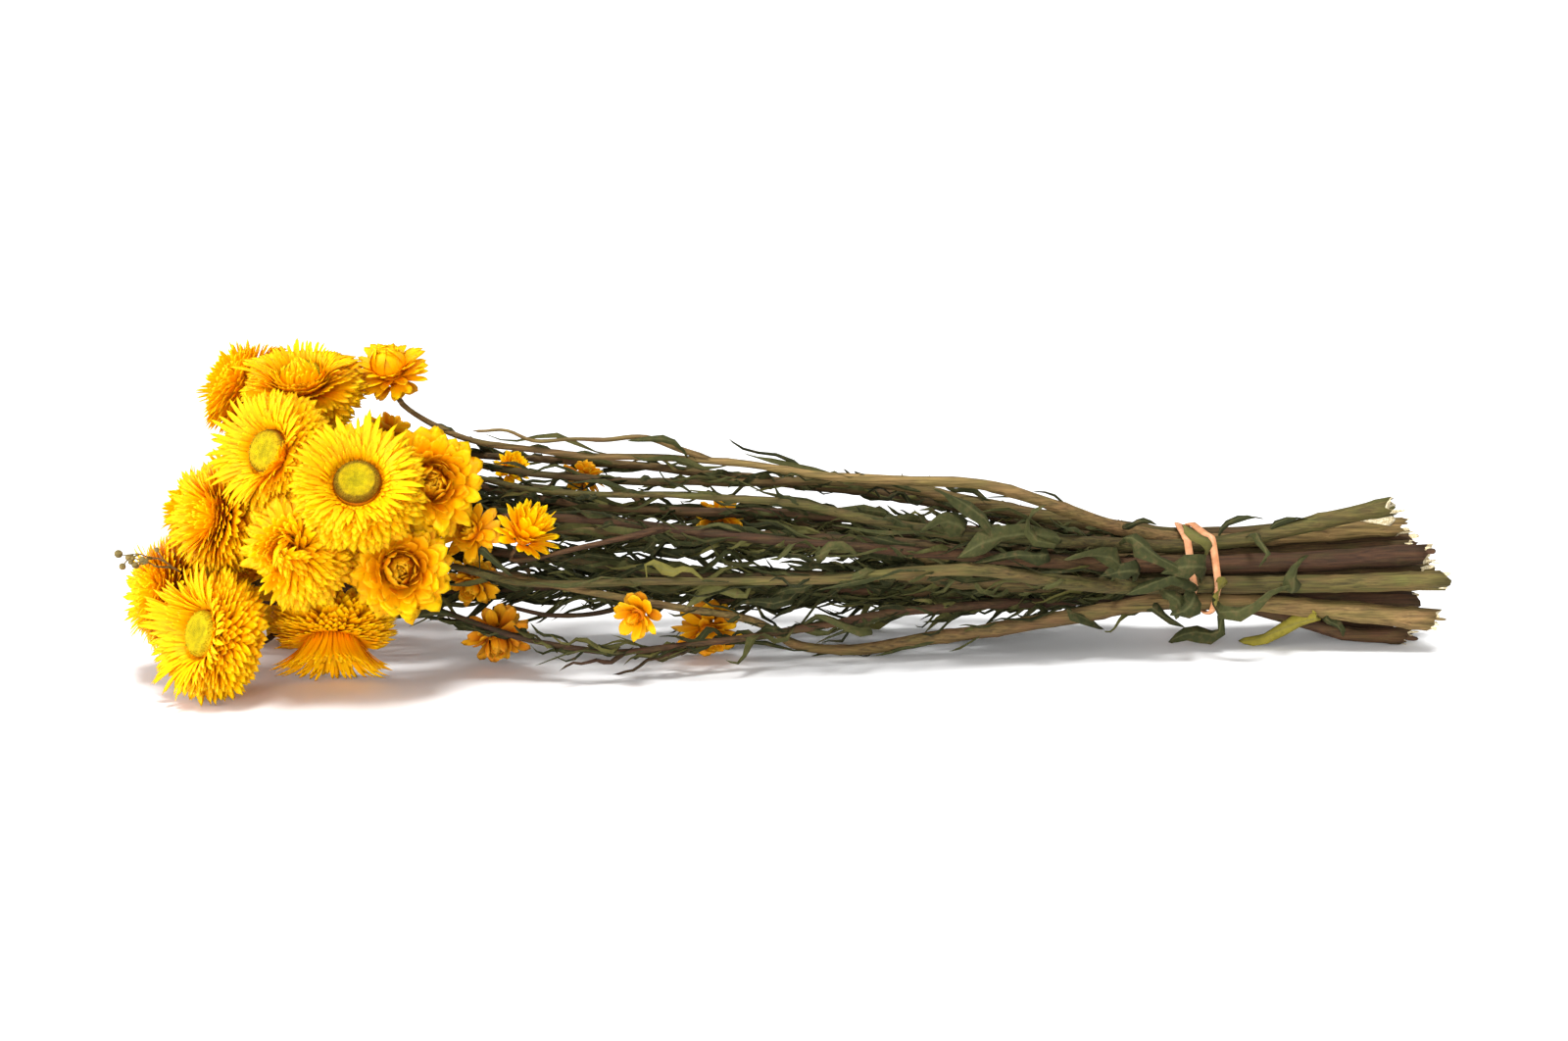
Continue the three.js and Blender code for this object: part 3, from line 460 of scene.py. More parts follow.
def sleeve(columns, rings):
    """A closed round skin: rings of columns points along Z from 0 to rings - 1, and a point at each end.

    Returns the mesh, and for each vertex its station (0 at the start point, 1 for the first ring and so
    on) and its place round the ring as side (X) and lift (Y).
    """
    bm = bmesh.new()
    bmesh.ops.create_cone(
        bm, cap_ends=True, cap_tris=True, segments=columns, radius1=1, radius2=1, depth=rings - 1,
    )
    bmesh.ops.translate(bm, verts=bm.verts, vec=(0, 0, (rings - 1) / 2))
    if rings > 2:
        risers = [e for e in bm.edges if abs(e.verts[0].co.z - e.verts[1].co.z) > 0.5]
        bmesh.ops.subdivide_edges(bm, edges=risers, cuts=rings - 2)
    for edge in bm.edges:
        middle = (edge.verts[0].co + edge.verts[1].co) / 2
        along = abs(edge.verts[0].co.z - edge.verts[1].co.z) > 0.5
        edge.smooth = not (along and abs(middle.y) < 1e-4 and columns in BLADE_COLUMNS)
    for face in bm.faces:
        face.smooth = True
    mesh = mesh_of("template", bm)
    co = np.array([v.co for v in mesh.vertices])
    is_point = np.hypot(co[:, 0], co[:, 1]) < 1e-4
    station = np.round(co[:, 2]).astype(int) + 1
    station[is_point & (co[:, 2] < 0.5)] = 0
    station[is_point & (co[:, 2] > rings - 1.5)] = rings + 1
    return {"mesh": mesh, "station": station, "side": co[:, 0], "lift": co[:, 1]}


def piece_from(name, shapes, finishes):
    """One object from many small shapes: (template, points, grain, finish number) each.

    grain is what the materials read: for each point, across, along and the shape's own tint.
    """
    bm = bmesh.new()
    for template, _, _, _ in shapes:
        bm.from_mesh(template["mesh"])
    mesh = mesh_of(name, bm)
    points = np.concatenate([points for _, points, _, _ in shapes])
    points[:, 2] = np.maximum(points[:, 2], FLOOR_CLEARANCE)
    mesh.vertices.foreach_set("co", ((points + SHIFT) * MM).astype(np.float32).ravel())
    grain = np.concatenate([grain for _, _, grain, _ in shapes]).astype(np.float32)
    mesh.attributes.new("grain", "FLOAT_VECTOR", "POINT").data.foreach_set("vector", grain.ravel())
    numbers = np.concatenate([np.full(len(t["mesh"].polygons), number) for t, _, _, number in shapes])
    mesh.polygons.foreach_set("material_index", numbers.astype(np.int32))
    for finish in finishes:
        mesh.materials.append(finish)
    mesh.update()
    made = put(name, mesh)
    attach(made, "root")
    return made


def part_shift():
    """The way from the layout's zero to the frame's, found from a floret disc of the frame.

    The disc's points lie evenly round its axis, so their mean is on it, this far above the disc's seat.
    """
    mean_rise = 1.134375
    at, _, _, radius, _ = HEADS["bloom_front_high"]
    face = head_axes(HEADS["bloom_front_high"])[2]
    points = np.array([v.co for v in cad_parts["disc_front_high"].data.vertices]) / MM
    mean = np.unique(np.round(points, 3), axis=0).mean(axis=0)
    return mean - (np.array(at) + face * (HEAD["seat"] * radius + GAP + mean_rise))


SHIFT = part_shift()


def tube(template, centres, radii, around=None, start=UP):
    """The points of a limb along centres, with radii at each; around scales each column's radius."""
    tangents = tangents_of(centres)
    normal = start
    normals = []
    for tangent in tangents:
        normal = unit(normal - tangent * normal.dot(tangent))
        normals.append(normal)
    normals = np.array(normals)
    sides = np.cross(tangents, normals)
    k = template["station"]
    round_share = np.ones(len(k)) if around is None else around
    reach = (radii[k] * round_share)[:, None]
    lift, side = template["lift"][:, None], template["side"][:, None]
    return centres[k] + reach * (normals[k] * lift + sides[k] * side)


def blade(template, spine, across, widths, cups, thick):
    """The points of a thin blade along its spine: widths, and how far its sides cup, at each station."""
    tangents = tangents_of(spine)
    across = across - tangents * (across * tangents).sum(axis=1)[:, None]
    across /= np.linalg.norm(across, axis=1)[:, None]
    normals = np.cross(tangents, across)
    k = template["station"]
    angle = cups[k] * template["side"]
    reach = widths[k] / (2 * cups[k])
    up = reach * (1 - np.cos(angle)) + template["lift"] * thick / 2
    return spine[k] + across[k] * (reach * np.sin(angle))[:, None] + normals[k] * up[:, None]


def linear(colour):
    """An sRGB hex colour as linear RGBA."""
    channels = [int(colour[i : i + 2], 16) / 255 for i in (1, 3, 5)]
    return (*(c / 12.92 if c <= 0.04045 else ((c + 0.055) / 1.055) ** 2.4 for c in channels), 1.0)


def add(tree, kind, inputs=None, stops=None, **settings):
    """Adds a node with its settings, inputs (a value, or an output or node to link) and ramp stops."""
    made = tree.nodes.new(kind)
    for name, value in settings.items():
        setattr(made, name, value)
    for socket, value in (inputs or {}).items():
        if isinstance(value, bpy.types.Node):
            value = next(output for output in value.outputs if output.enabled)
        if isinstance(value, bpy.types.NodeSocket):
            tree.links.new(value, made.inputs[socket])
        else:
            made.inputs[socket].default_value = value
    if stops:
        ramp = made.color_ramp.elements
        while len(ramp) < len(stops):
            ramp.new(0.5)
        for element, (position, colour) in zip(ramp, stops):
            element.position = position
            element.color = linear(colour)
    return made


def finish(name, **shader):
    """A material with a Principled shader; returns it with its tree and shader."""
    material = bpy.data.materials.new(name)
    material.use_nodes = True
    tree = material.node_tree
    principled = tree.nodes["Principled BSDF"]
    for socket, value in shader.items():
        principled.inputs[socket.replace("_", " ")].default_value = value
    return material, tree, principled


def grain_of(tree):
    """The three numbers that a shape's points carry for its material."""
    grain = add(tree, "ShaderNodeAttribute", attribute_name="grain")
    return add(tree, "ShaderNodeSeparateXYZ", {0: grain.outputs["Vector"]}).outputs


def mottle(tree, cells, detail, roughness=0.5):
    """Noise fixed to the object, with so many cells to the metre along X, Y and Z."""
    place = add(tree, "ShaderNodeTexCoord").outputs["Object"]
    scaled = add(tree, "ShaderNodeMapping", {"Vector": place, "Scale": cells})
    settings = {"Vector": scaled, "Scale": 1.0, "Detail": detail, "Roughness": roughness}
    return add(tree, "ShaderNodeTexNoise", settings)


def shaded(tree, colour, height, span, values, hue=0.5):
    """A colour that gets darker and lighter as a height goes through its span."""
    spans = {1: span[0], 2: span[1], 3: values[0], 4: values[1]}
    value = add(tree, "ShaderNodeMapRange", {0: height, **spans})
    return add(tree, "ShaderNodeHueSaturation", {"Hue": hue, "Value": value, "Color": colour})


def surface(tree, principled, colour, height, gloss, strength, depth):
    """Gives a shader its colour, and a roughness and bump that follow one height."""
    rough = add(tree, "ShaderNodeMapRange", {0: height, 3: gloss[0], 4: gloss[1]})
    bump = add(tree, "ShaderNodeBump", {"Height": height, "Strength": strength, "Distance": depth})
    for socket, node in (("Base Color", colour), ("Roughness", rough), ("Normal", bump)):
        output = next(output for output in node.outputs if output.enabled)
        tree.links.new(output, principled.inputs[socket])


def papery_bract():
    """Dried strawflower bracts: silky straw, ribbed lengthwise, deep orange at the root, partly their own
    colour and partly painted shade down between the bracts.
    """
    material, tree, principled = finish(
        "papery_strawflower_bract", Specular_IOR_Level=0.09, Subsurface_Weight=0.3,
        Subsurface_Radius=(1.0, 0.7, 0.2), Subsurface_Scale=0.0008,
    )
    across, along, mark = grain_of(tree)
    # The mark holds a tint from 0 to 1, plus twice the bract's age in tenths
    tint = add(tree, "ShaderNodeMath", {0: mark, 1: 2.0}, operation="MODULO")
    aged = add(tree, "ShaderNodeMath", {0: mark, 1: tint}, operation="SUBTRACT")
    age = add(tree, "ShaderNodeMath", {0: aged, 1: 0.05}, operation="MULTIPLY")
    seat = add(tree, "ShaderNodeCombineXYZ", {0: across, 1: along, 2: mark})
    # Ribs: about 5 across a bract 3 mm wide; the real ones are finer than the render can show
    ribs = add(tree, "ShaderNodeMapping", {"Vector": seat, "Scale": (5.0, 0.7, 23.0)})
    streaks = add(
        tree, "ShaderNodeTexNoise", {"Vector": ribs, "Scale": 1.0, "Detail": 3.0, "Roughness": 0.6},
    )
    # Both ramps run from root to tip. The deeper root colour is partly the bract's own and partly painted
    # shade where the roots lie deep between other bracts.
    fresh = add(
        tree, "ShaderNodeValToRGB", {0: along},
        stops=[(0.0, "#FF9A00"), (0.3, "#FFB000"), (0.65, "#FFB900"), (1.0, "#FFBE00")],
    )
    dry = add(
        tree, "ShaderNodeValToRGB", {0: along},
        stops=[(0.0, "#7E4206"), (0.35, "#B06408"), (0.7, "#CC8812"), (1.0, "#C48420")],
    )
    grown = add(tree, "ShaderNodeMix", {0: age, "A": fresh, "B": dry}, data_type="RGBA")
    hue = add(tree, "ShaderNodeMapRange", {0: tint, 3: 0.486, 4: 0.504})
    colour = shaded(tree, grown, streaks, (0.3, 0.7), (0.92, 1.07), hue)
    surface(tree, principled, colour, streaks, (0.6, 0.36), 0.5, 0.0003)
    return material


def floret_finish():
    """Dry florets: dark olive tips round the rim of the disc, a velvety yellow-green dome inside it; each
    floret is darkest at its root, partly its own colour and partly painted shade down between the florets.
    """
    material, tree, principled = finish("dry_disc_floret", Roughness=0.8, Specular_IOR_Level=0.15)
    out, rise, tint = grain_of(tree)
    dome = add(
        tree, "ShaderNodeValToRGB", {0: out},
        stops=[
            (0.0, "#948600"), (0.35, "#A99700"), (0.7, "#A88E00"), (0.8, "#7A6008"), (1.0, "#6E5206"),
        ],
    )
    # Each floret from root to tip: the near-black root is partly its own olive and partly painted shade
    # down between the florets
    tips = add(
        tree, "ShaderNodeValToRGB", {0: rise},
        stops=[(0.0, "#2E2406"), (0.6, "#6E5C0E"), (1.0, "#B09A1A")],
    )
    share = add(tree, "ShaderNodeMapRange", {0: tint, 1: 0.45, 2: 0.95, 3: 0.0, 4: 0.7})
    speckle = add(tree, "ShaderNodeMix", {0: share, "A": dome, "B": tips}, data_type="RGBA")
    # Floret tips 0.4 mm across, and patches of them 2 mm across
    fuzz = mottle(tree, (2500.0, 2500.0, 2500.0), 2.0)
    patches = mottle(tree, (500.0, 500.0, 500.0), 3.0)
    colour = shaded(tree, speckle, patches, (0.35, 0.65), (0.78, 1.2))
    surface(tree, principled, colour, fuzz, (0.7, 0.95), 0.6, 0.0003)
    return material


def bark():
    """Sun-dried herb stem, as grown: matt, ribbed lengthwise, brown to olive with grey scuffs."""
    material, tree, principled = finish("dried_ribbed_stem", Roughness=0.75, Specular_IOR_Level=0.2)
    olive, light, _ = grain_of(tree)
    # Ribs 0.9 mm apart, drawn out to 30 mm along the stem, which runs along X
    fibre = mottle(tree, (33.0, 1100.0, 1100.0), 4.0, 0.6)
    # Patches of colour 12 mm long
    patch = mottle(tree, (80.0, 250.0, 250.0), 3.0)
    brown = add(
        tree, "ShaderNodeValToRGB", {0: light},
        stops=[(0.0, "#2A1A10"), (0.35, "#4A3220"), (0.7, "#6E5434"), (1.0, "#8E7448")],
    )
    green = add(
        tree, "ShaderNodeValToRGB", {0: light},
        stops=[(0.0, "#252510"), (0.5, "#4A4722"), (1.0, "#716A36")],
    )
    lean = add(tree, "ShaderNodeMath", {0: patch, 1: -0.5}, operation="ADD")
    share = add(tree, "ShaderNodeMath", {0: lean, 1: 1.6, 2: olive}, operation="MULTIPLY_ADD")
    base = add(
        tree, "ShaderNodeMix", {0: share, "A": brown, "B": green}, data_type="RGBA", clamp_factor=True,
    )
    colour = shaded(tree, base, fibre, (0.3, 0.7), (0.42, 1.5))
    surface(tree, principled, colour, fibre, (0.62, 0.9), 1.0, 0.0006)
    return material


def dry_leaf():
    """Air-dried leaf: matt, crumpled, dull dark green with a paler midrib and brown patches."""
    material, tree, principled = finish("air_dried_leaf", Roughness=0.8, Specular_IOR_Level=0.15)
    across, _, tint = grain_of(tree)
    # Crumples 2.5 mm wide
    crumple = mottle(tree, (400.0, 400.0, 400.0), 4.0, 0.6)
    green = add(
        tree, "ShaderNodeValToRGB", {0: tint},
        stops=[
            (0.0, "#22240F"), (0.4, "#303318"), (0.7, "#434322"), (0.88, "#5E5A2C"), (1.0, "#8A7E2C"),
        ],
    )
    edge = add(tree, "ShaderNodeMath", {0: across, 1: 0.5}, operation="SUBTRACT")
    off_rib = add(tree, "ShaderNodeMath", {0: edge}, operation="ABSOLUTE")
    rib = add(tree, "ShaderNodeMapRange", {0: off_rib, 1: 0.0, 2: 0.1, 3: 0.45, 4: 0.0})
    ribbed = add(tree, "ShaderNodeMix", {0: rib, "A": green, "B": linear("#5E5C3A")}, data_type="RGBA")
    worn = add(tree, "ShaderNodeMapRange", {0: crumple, 1: 0.52, 2: 0.75, 3: 0.0, 4: 0.7})
    browned = add(tree, "ShaderNodeMix", {0: worn, "A": ribbed, "B": linear("#4B3C26")}, data_type="RGBA")
    colour = shaded(tree, browned, crumple, (0.3, 0.7), (0.75, 1.25))
    surface(tree, principled, colour, crumple, (0.66, 0.92), 0.8, 0.0006)
    return material


def pith():
    """Cut stem pith: dry, pale and spongy, with torn fibres."""
    material, tree, principled = finish("cut_stem_pith", Roughness=0.9)
    # Cells and torn fibres 0.7 mm across
    cells = mottle(tree, (1400.0, 1400.0, 1400.0), 3.0)
    cream = add(
        tree, "ShaderNodeValToRGB", {0: cells},
        stops=[(0.3, "#A08C62"), (0.5, "#D0C098"), (0.7, "#EFE6CC")],
    )
    surface(tree, principled, cream, cells, (0.8, 1.0), 0.8, 0.0004)
    return material


def tan_rubber():
    """Natural rubber band, moulded and cut: soft satin tan with a dusty bloom where it is stretched."""
    material, tree, principled = finish(
        "natural_rubber", Roughness=0.5, Subsurface_Weight=0.2, Subsurface_Radius=(1.0, 0.5, 0.3),
        Subsurface_Scale=0.001,
    )
    # Dusty patches 3 mm across
    bloom = mottle(tree, (330.0, 330.0, 330.0), 4.0)
    tan = add(
        tree, "ShaderNodeValToRGB", {0: bloom},
        stops=[(0.3, "#B97A4E"), (0.55, "#CC9064"), (0.75, "#D8A67E")],
    )
    surface(tree, principled, tan, bloom, (0.4, 0.62), 0.3, 0.0002)
    return material


BRACT_FINISH = papery_bract()
FLORET_FINISH = floret_finish()
BARK_FINISH = bark()
LEAF_FINISH = dry_leaf()
PITH_FINISH = pith()
RUBBER_FINISH = tan_rubber()


def extent(head, direction):
    """How far a head reaches in a direction, as a flat round cushion."""
    along = abs(head_axes(head)[2].dot(direction))
    return head[3] * math.sqrt(max(0.0, 1 - along**2)) + CUSHION["half_depth"] * head[3] * along


def middle_of(head):
    return np.array(head[0]) - head_axes(head)[2] * CUSHION["sink"] * head[3]


def parting_plane(head, other):
    """The plane that best parts two heads: its normal, facing the second, and its distance."""
    apart = middle_of(other) - middle_of(head)
    faces = head_axes(head)[2], head_axes(other)[2]
    best = (-math.inf,)
    for face in (*faces, unit(faces[0] + faces[1])):
        for step in range(11):
            lean = -1 + 0.2 * step
            normal = unit(unit(apart) * (1 - abs(lean)) + face * lean)
            near, far = extent(head, normal), extent(other, normal)
            room = apart.dot(normal) / (near + far)
            if room > best[0]:
                best = (room, normal, apart.dot(normal) * near / (near + far))
    _, normal, reach = best
    return normal, middle_of(head).dot(normal) + reach - 0.5 * GAP


def limb_samples():
    """Points along every stem and branch: place, radius, and the head that it carries."""
    found = []
    for name, stem in STEMS.items():
        limbs = [(stem_curve(stem), STEM, stem[3])]
        for branch in BRANCHES.get(name, []):
            limbs.append((branch_curve(stem, branch), BRANCH if branch[2] else TWIG, branch[2]))
        for curve, limb, head in limbs:
            count = int(np.linalg.norm(curve(0) - curve(1)) / 3) + 1
            found += [(curve(i / count), radius_at(limb, i / count), head) for i in range(count + 1)]
    return found


SAMPLES = limb_samples()


def surroundings(name):
    """What a head's bracts stay clear of: planes as (normals, distances), and stems as (places, radii)."""
    head = HEADS[name]
    crown = np.array([head[0][0], head[0][1], CROWN["top"]])
    planes = [(-UP, FLOOR_PRESS)]
    for slope_x, slope_y in CROWN["slopes"]:
        normal = unit(np.array([slope_x, slope_y, 1.0]))
        planes.append((normal, crown.dot(normal)))
    for other, neighbour in HEADS.items():
        apart = np.linalg.norm(middle_of(head) - middle_of(neighbour))
        if other == name or apart > head[3] + neighbour[3] + 1:
            continue
        first, second = sorted((name, other))
        normal, reach = parting_plane(HEADS[first], HEADS[second])
        if first == name:
            planes.append((normal, reach + INTERLACE))
        else:
            planes.append((-normal, -reach - GAP + INTERLACE))
    near = [s for s in SAMPLES if s[2] != name and np.linalg.norm(s[0] - head[0]) < head[3] + 6]
    places = np.array([s[0] for s in near]).reshape(-1, 3)
    radii = np.array([s[1] for s in near])
    return np.array([p[0] for p in planes]), np.array([p[1] for p in planes]), places, radii


BRACT_STATIONS = np.array([0, 0.08, 0.3, 0.52, 0.72, 0.88, 1.0])
POINTED = np.array([0, 0.68, 0.94, 1.0, 0.95, 0.68, 0])
ROUNDED = np.array([0, 0.55, 0.85, 1.0, 1.02, 0.86, 0])
BRACT = sleeve(4, 5)
# What a bract in the way of something tries: bends in degrees, then shares of its length
BENDS = (0, 8, -8, 16, -16, 24, -24)
SHARES = (1, 0.93, 0.86, 0.79, 0.7, 0.6, 0.5, 0.4)


def bract_spine(axes, at, angle, root, slopes, length, sway):
    """A bract's centre line: root is (out, up the face) in mm, slopes its start and end in radians."""
    across, up, face = axes
    out = across * math.cos(angle) + up * math.sin(angle)
    round_way = up * math.cos(angle) - across * math.sin(angle)
    s = BRACT_STATIONS
    slope = blend(slopes[0], slopes[1], (s[1:] + s[:-1]) / 2)
    steps = np.diff(s) * length
    outs = root[0] + np.concatenate([[0], np.cumsum(steps * np.cos(slope))])
    rises = root[1] + np.concatenate([[0], np.cumsum(steps * np.sin(slope))])
    spine = np.array(at) + outs[:, None] * out + rises[:, None] * face
    return spine + (sway * length * s**2)[:, None] * round_way, round_way


def is_free(spine, room):
    """Whether a bract's outer half is clear of what is round its head."""
    normals, reaches, places, radii = room
    tested = spine[3:]
    if (tested @ normals.T > reaches).any():
        return False
    if len(places) == 0:
        return True
    distances = np.linalg.norm(tested[:, None, :] - places[None, :, :], axis=2)
    return (distances > radii + STEM_ROOM).all()


def bract_shape(axes, at, room, angle, root, slopes, length, width, rounded, mark, seed, unruly, sway):
    """One bract, bent or shortened until it is clear of what is round it."""
    sway = sway + vary(BRACT_SIZES["sway"] * unruly, *seed, 1)
    for share in SHARES:
        for bend in BENDS:
            turned = [slope + math.radians(bend) * part for slope, part in zip(slopes, (0.5, 1.5))]
            spine, round_way = bract_spine(axes, at, angle, root, turned, length * share, sway)
            if room is None or is_free(spine, room):
                break
        else:
            continue
        break
    tangent = unit(spine[-1] - spine[0])
    twist = vary(BRACT_SIZES["twist"] * unruly, *seed, 2) * BRACT_STATIONS
    turned_way = round_way * np.cos(twist)[:, None] + np.cross(tangent, round_way) * np.sin(twist)[:, None]
    outline = blend(POINTED, ROUNDED, rounded)
    cup = BRACT_SIZES["cup"] + vary(BRACT_SIZES["cup_spread"], *seed, 3)
    cups = np.full(len(BRACT_STATIONS), cup)
    points = blade(BRACT, spine, turned_way, width * outline, cups, BRACT_SIZES["thick"])
    grain = np.stack(
        [0.5 + 0.5 * BRACT["side"], BRACT_STATIONS[BRACT["station"]], np.full(len(points), mark)], axis=1,
    )
    return BRACT, points, grain, 0


RECEPTACLE_SKIN = sleeve(16, 5)


def receptacle(head, seat, age):
    """The cup that the bracts grow from: it closes the view through the middle of a head."""
    at, _, _, radius, _ = head
    across, up, face = head_axes(head)
    back = HEAD["back"]
    shares = np.array([0, back, blend(back, seat, 0.7), 0.97 * seat, 0.8 * seat, 0.4 * seat, 0])
    rises = np.array([-0.4, -0.38, -0.2, -0.02, 0.02, 0.03, 0.03])
    k = RECEPTACLE_SKIN["station"]
    out = radius * shares[k]
    points = np.array(at) + (radius * rises[k])[:, None] * face
    points = points + (out * RECEPTACLE_SKIN["side"])[:, None] * across
    points = points + (out * RECEPTACLE_SKIN["lift"])[:, None] * up
    grain = np.tile([0.5, 0.1, mark_of(age + 0.2, 0.5)], (len(points), 1))
    return RECEPTACLE_SKIN, points, grain, 0


def mark_of(age, tint):
    """Age and tint of a bract in one number: its tint, plus twice its age in tenths."""
    return 2 * round(10 * min(max(age, 0), 1)) + 0.98 * tint


def combed(seed, angle, row):
    """How a head's bracts lie in locks round it: their sway, lean in degrees and stretch at an angle."""
    first, second, third = (6.28 * draw(seed, number, 77) for number in (1, 2, 3))
    sway = 0.1 * math.sin(2 * angle + first + 0.5 * row) + 0.07 * math.sin(7 * angle + second - 0.8 * row)
    lean = 4 * math.sin(3 * angle + second + row) + 3 * math.sin(9 * angle + third + 2.1 * row)
    stretch = 0.03 * math.sin(4 * angle + third + 1.7 * row) + 0.02 * math.sin(11 * angle + first)
    return sway, lean, stretch


def degrees_apart(angle, direction):
    """How far an angle in radians lies from a direction in degrees."""
    return abs((math.degrees(angle) - direction + 180) % 360 - 180)


def folded_over(name, angle, rows_left):
    """How strongly a bract folds over its head's middle, from 0 to 1."""
    direction, spread, rows, lean = FOLDS.get(name, (0, 1, 0, 0))
    apart = degrees_apart(angle, direction)
    if rows_left >= rows or apart >= spread:
        return 0
    return lean * min(1, 2.2 * (1 - apart / spread)) * (1 - rows_left / rows) ** 0.4


def length_share(name, angle):
    """How much of its length a bract keeps, at an angle round its head."""
    direction, spread, share = SHORTENED.get(name, (0, 1, 1))
    return blend(share, 1, min(1, (degrees_apart(angle, direction) / spread) ** 2))


def place_in_row(number, count, row, uneven, keys):
    """A bract's angle round its head; every second row is half a place on."""
    return 2 * math.pi * (number + 0.5 * (row % 2) + vary(uneven["place"], *keys, 4)) / count


def bloom(name, seed):
    """All bracts of a flower head, from the broad ones at its back to its heart."""
    head = HEADS[name]
    at, _, _, radius, kind = head
    form = FORMS[kind]
    heart = HEARTS[form["heart"]]
    axes = head_axes(head)
    room = surroundings(name)
    layers = form["layers"]
    seat = HEAD["open_waist"] if form["heart"] == "disc" else HEAD["waist"]
    aged = form["age"] + AGED.get(name, 0)
    unruly, blunt = form["unruly"], form["blunt"]
    lemon = form.get("lemon", 0)
    shapes = []
    uneven = OUTER_UNEVEN
    for row in range(form["rows"]):
        level = row / (form["rows"] - 1)
        layer = level * (len(layers) - 1)
        stand = np.interp(layer, range(len(layers)), [p[0] for p in layers])
        long = np.interp(layer, range(len(layers)), [p[1] for p in layers])
        waist = radius * blend(HEAD["back"], seat, math.sqrt(blend(0.25, 1, level)))
        rise = radius * blend(-HEAD["depth"], HEAD["seat"], blend(0.15, 0.9, level))
        broad = blend(form["broad"], form["fine"], level)
        for number in range(form["count"]):
            keys = (seed, row * 100 + number)
            angle = place_in_row(number, form["count"], row, uneven, keys)
            sway, lock, stretch = combed(seed, angle, row)
            lean = stand + lock * unruly + vary(uneven["lean"] * unruly, *keys, 5)
            slopes = [math.radians(lean + form["arch"] * part) for part in (0.55, -0.45)]
            over = folded_over(name, angle, form["rows"] - 1 - row + len(heart))
            slopes = [blend(slope, folded, over) for slope, folded in zip(slopes, OUTER_FOLD)]
            stretched = 1 + stretch + vary(uneven["length"], *keys, 6)
            reach = radius * long * stretched * length_share(name, angle)
            length = max(0.15 * radius, reach - waist)
            width = radius * broad * (1 + vary(uneven["width"], *keys, 7))
            age = aged + form["back"] * max(0, 1 - 1.2 * row) + vary(uneven["age"], *keys, 8)
            mark = mark_of(age, blend(draw(*keys, 9), 1, lemon))
            shapes.append(bract_shape(
                axes, at, room, angle, (0.9 * waist, rise), slopes, length, width,
                blunt * (1 - 0.6 * level), mark, keys, unruly, sway,
            ))
    uneven = INNER_UNEVEN
    for row, (share, start, end, long, count, wide) in enumerate(heart):
        for number in range(count):
            keys = (seed, 2000 + row * 100 + number)
            angle = place_in_row(number, count, row, uneven, keys)
            sway, lock, stretch = combed(seed, angle, row + form["rows"])
            over = folded_over(name, angle, len(heart) - 1 - row)
            lean = vary(uneven["lean"] * unruly, *keys, 5)
            slopes = (math.radians(start + lean), math.radians(end + lean) + math.radians(lock))
            slopes = [blend(slope, folded, over) for slope, folded in zip(slopes, INNER_FOLD)]
            stretched = 1 + 2 * stretch + vary(uneven["length"], *keys, 6)
            length = radius * long * stretched * (1 + 0.55 * over)
            root = (share * seat * radius, (HEAD["seat"] - 0.05) * radius)
            width = radius * wide * (1 + vary(uneven["width"], *keys, 7))
            # core ages the heart's inner rows more: partly their own browner colour, partly painted shade
            # deep in the heart
            age = aged + vary(uneven["age"], *keys, 8) + form.get("core", 0) * min(1, 0.35 * row)
            mark = mark_of(age, blend(draw(*keys, 9), 1, lemon))
            shapes.append(bract_shape(
                axes, at, room if long > 0.5 else None, angle, root, slopes, length, width,
                0.5 * blunt, mark, keys, unruly, sway,
            ))
    shapes.append(receptacle(head, seat, aged))
    made = piece_from(f"bracts_{name}", shapes, [BRACT_FINISH])
    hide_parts(name)


DISC_SKIN = sleeve(32, 9)
FLORET = sleeve(4, 2)
# The disc's profile: share of its radius, and height in mm
DISC_PROFILE = [(0, 1.7), (0.2, 1.8), (0.4, 2.1), (0.6, 2.45), (0.75, 2.55), (0.86, 2.1), (0.94, 1.3)]


def disc_point(axes, base, radius, share, angle, rise):
    across, up, face = axes
    way = across * math.cos(angle) + up * math.sin(angle)
    return base + way * radius * share + face * rise


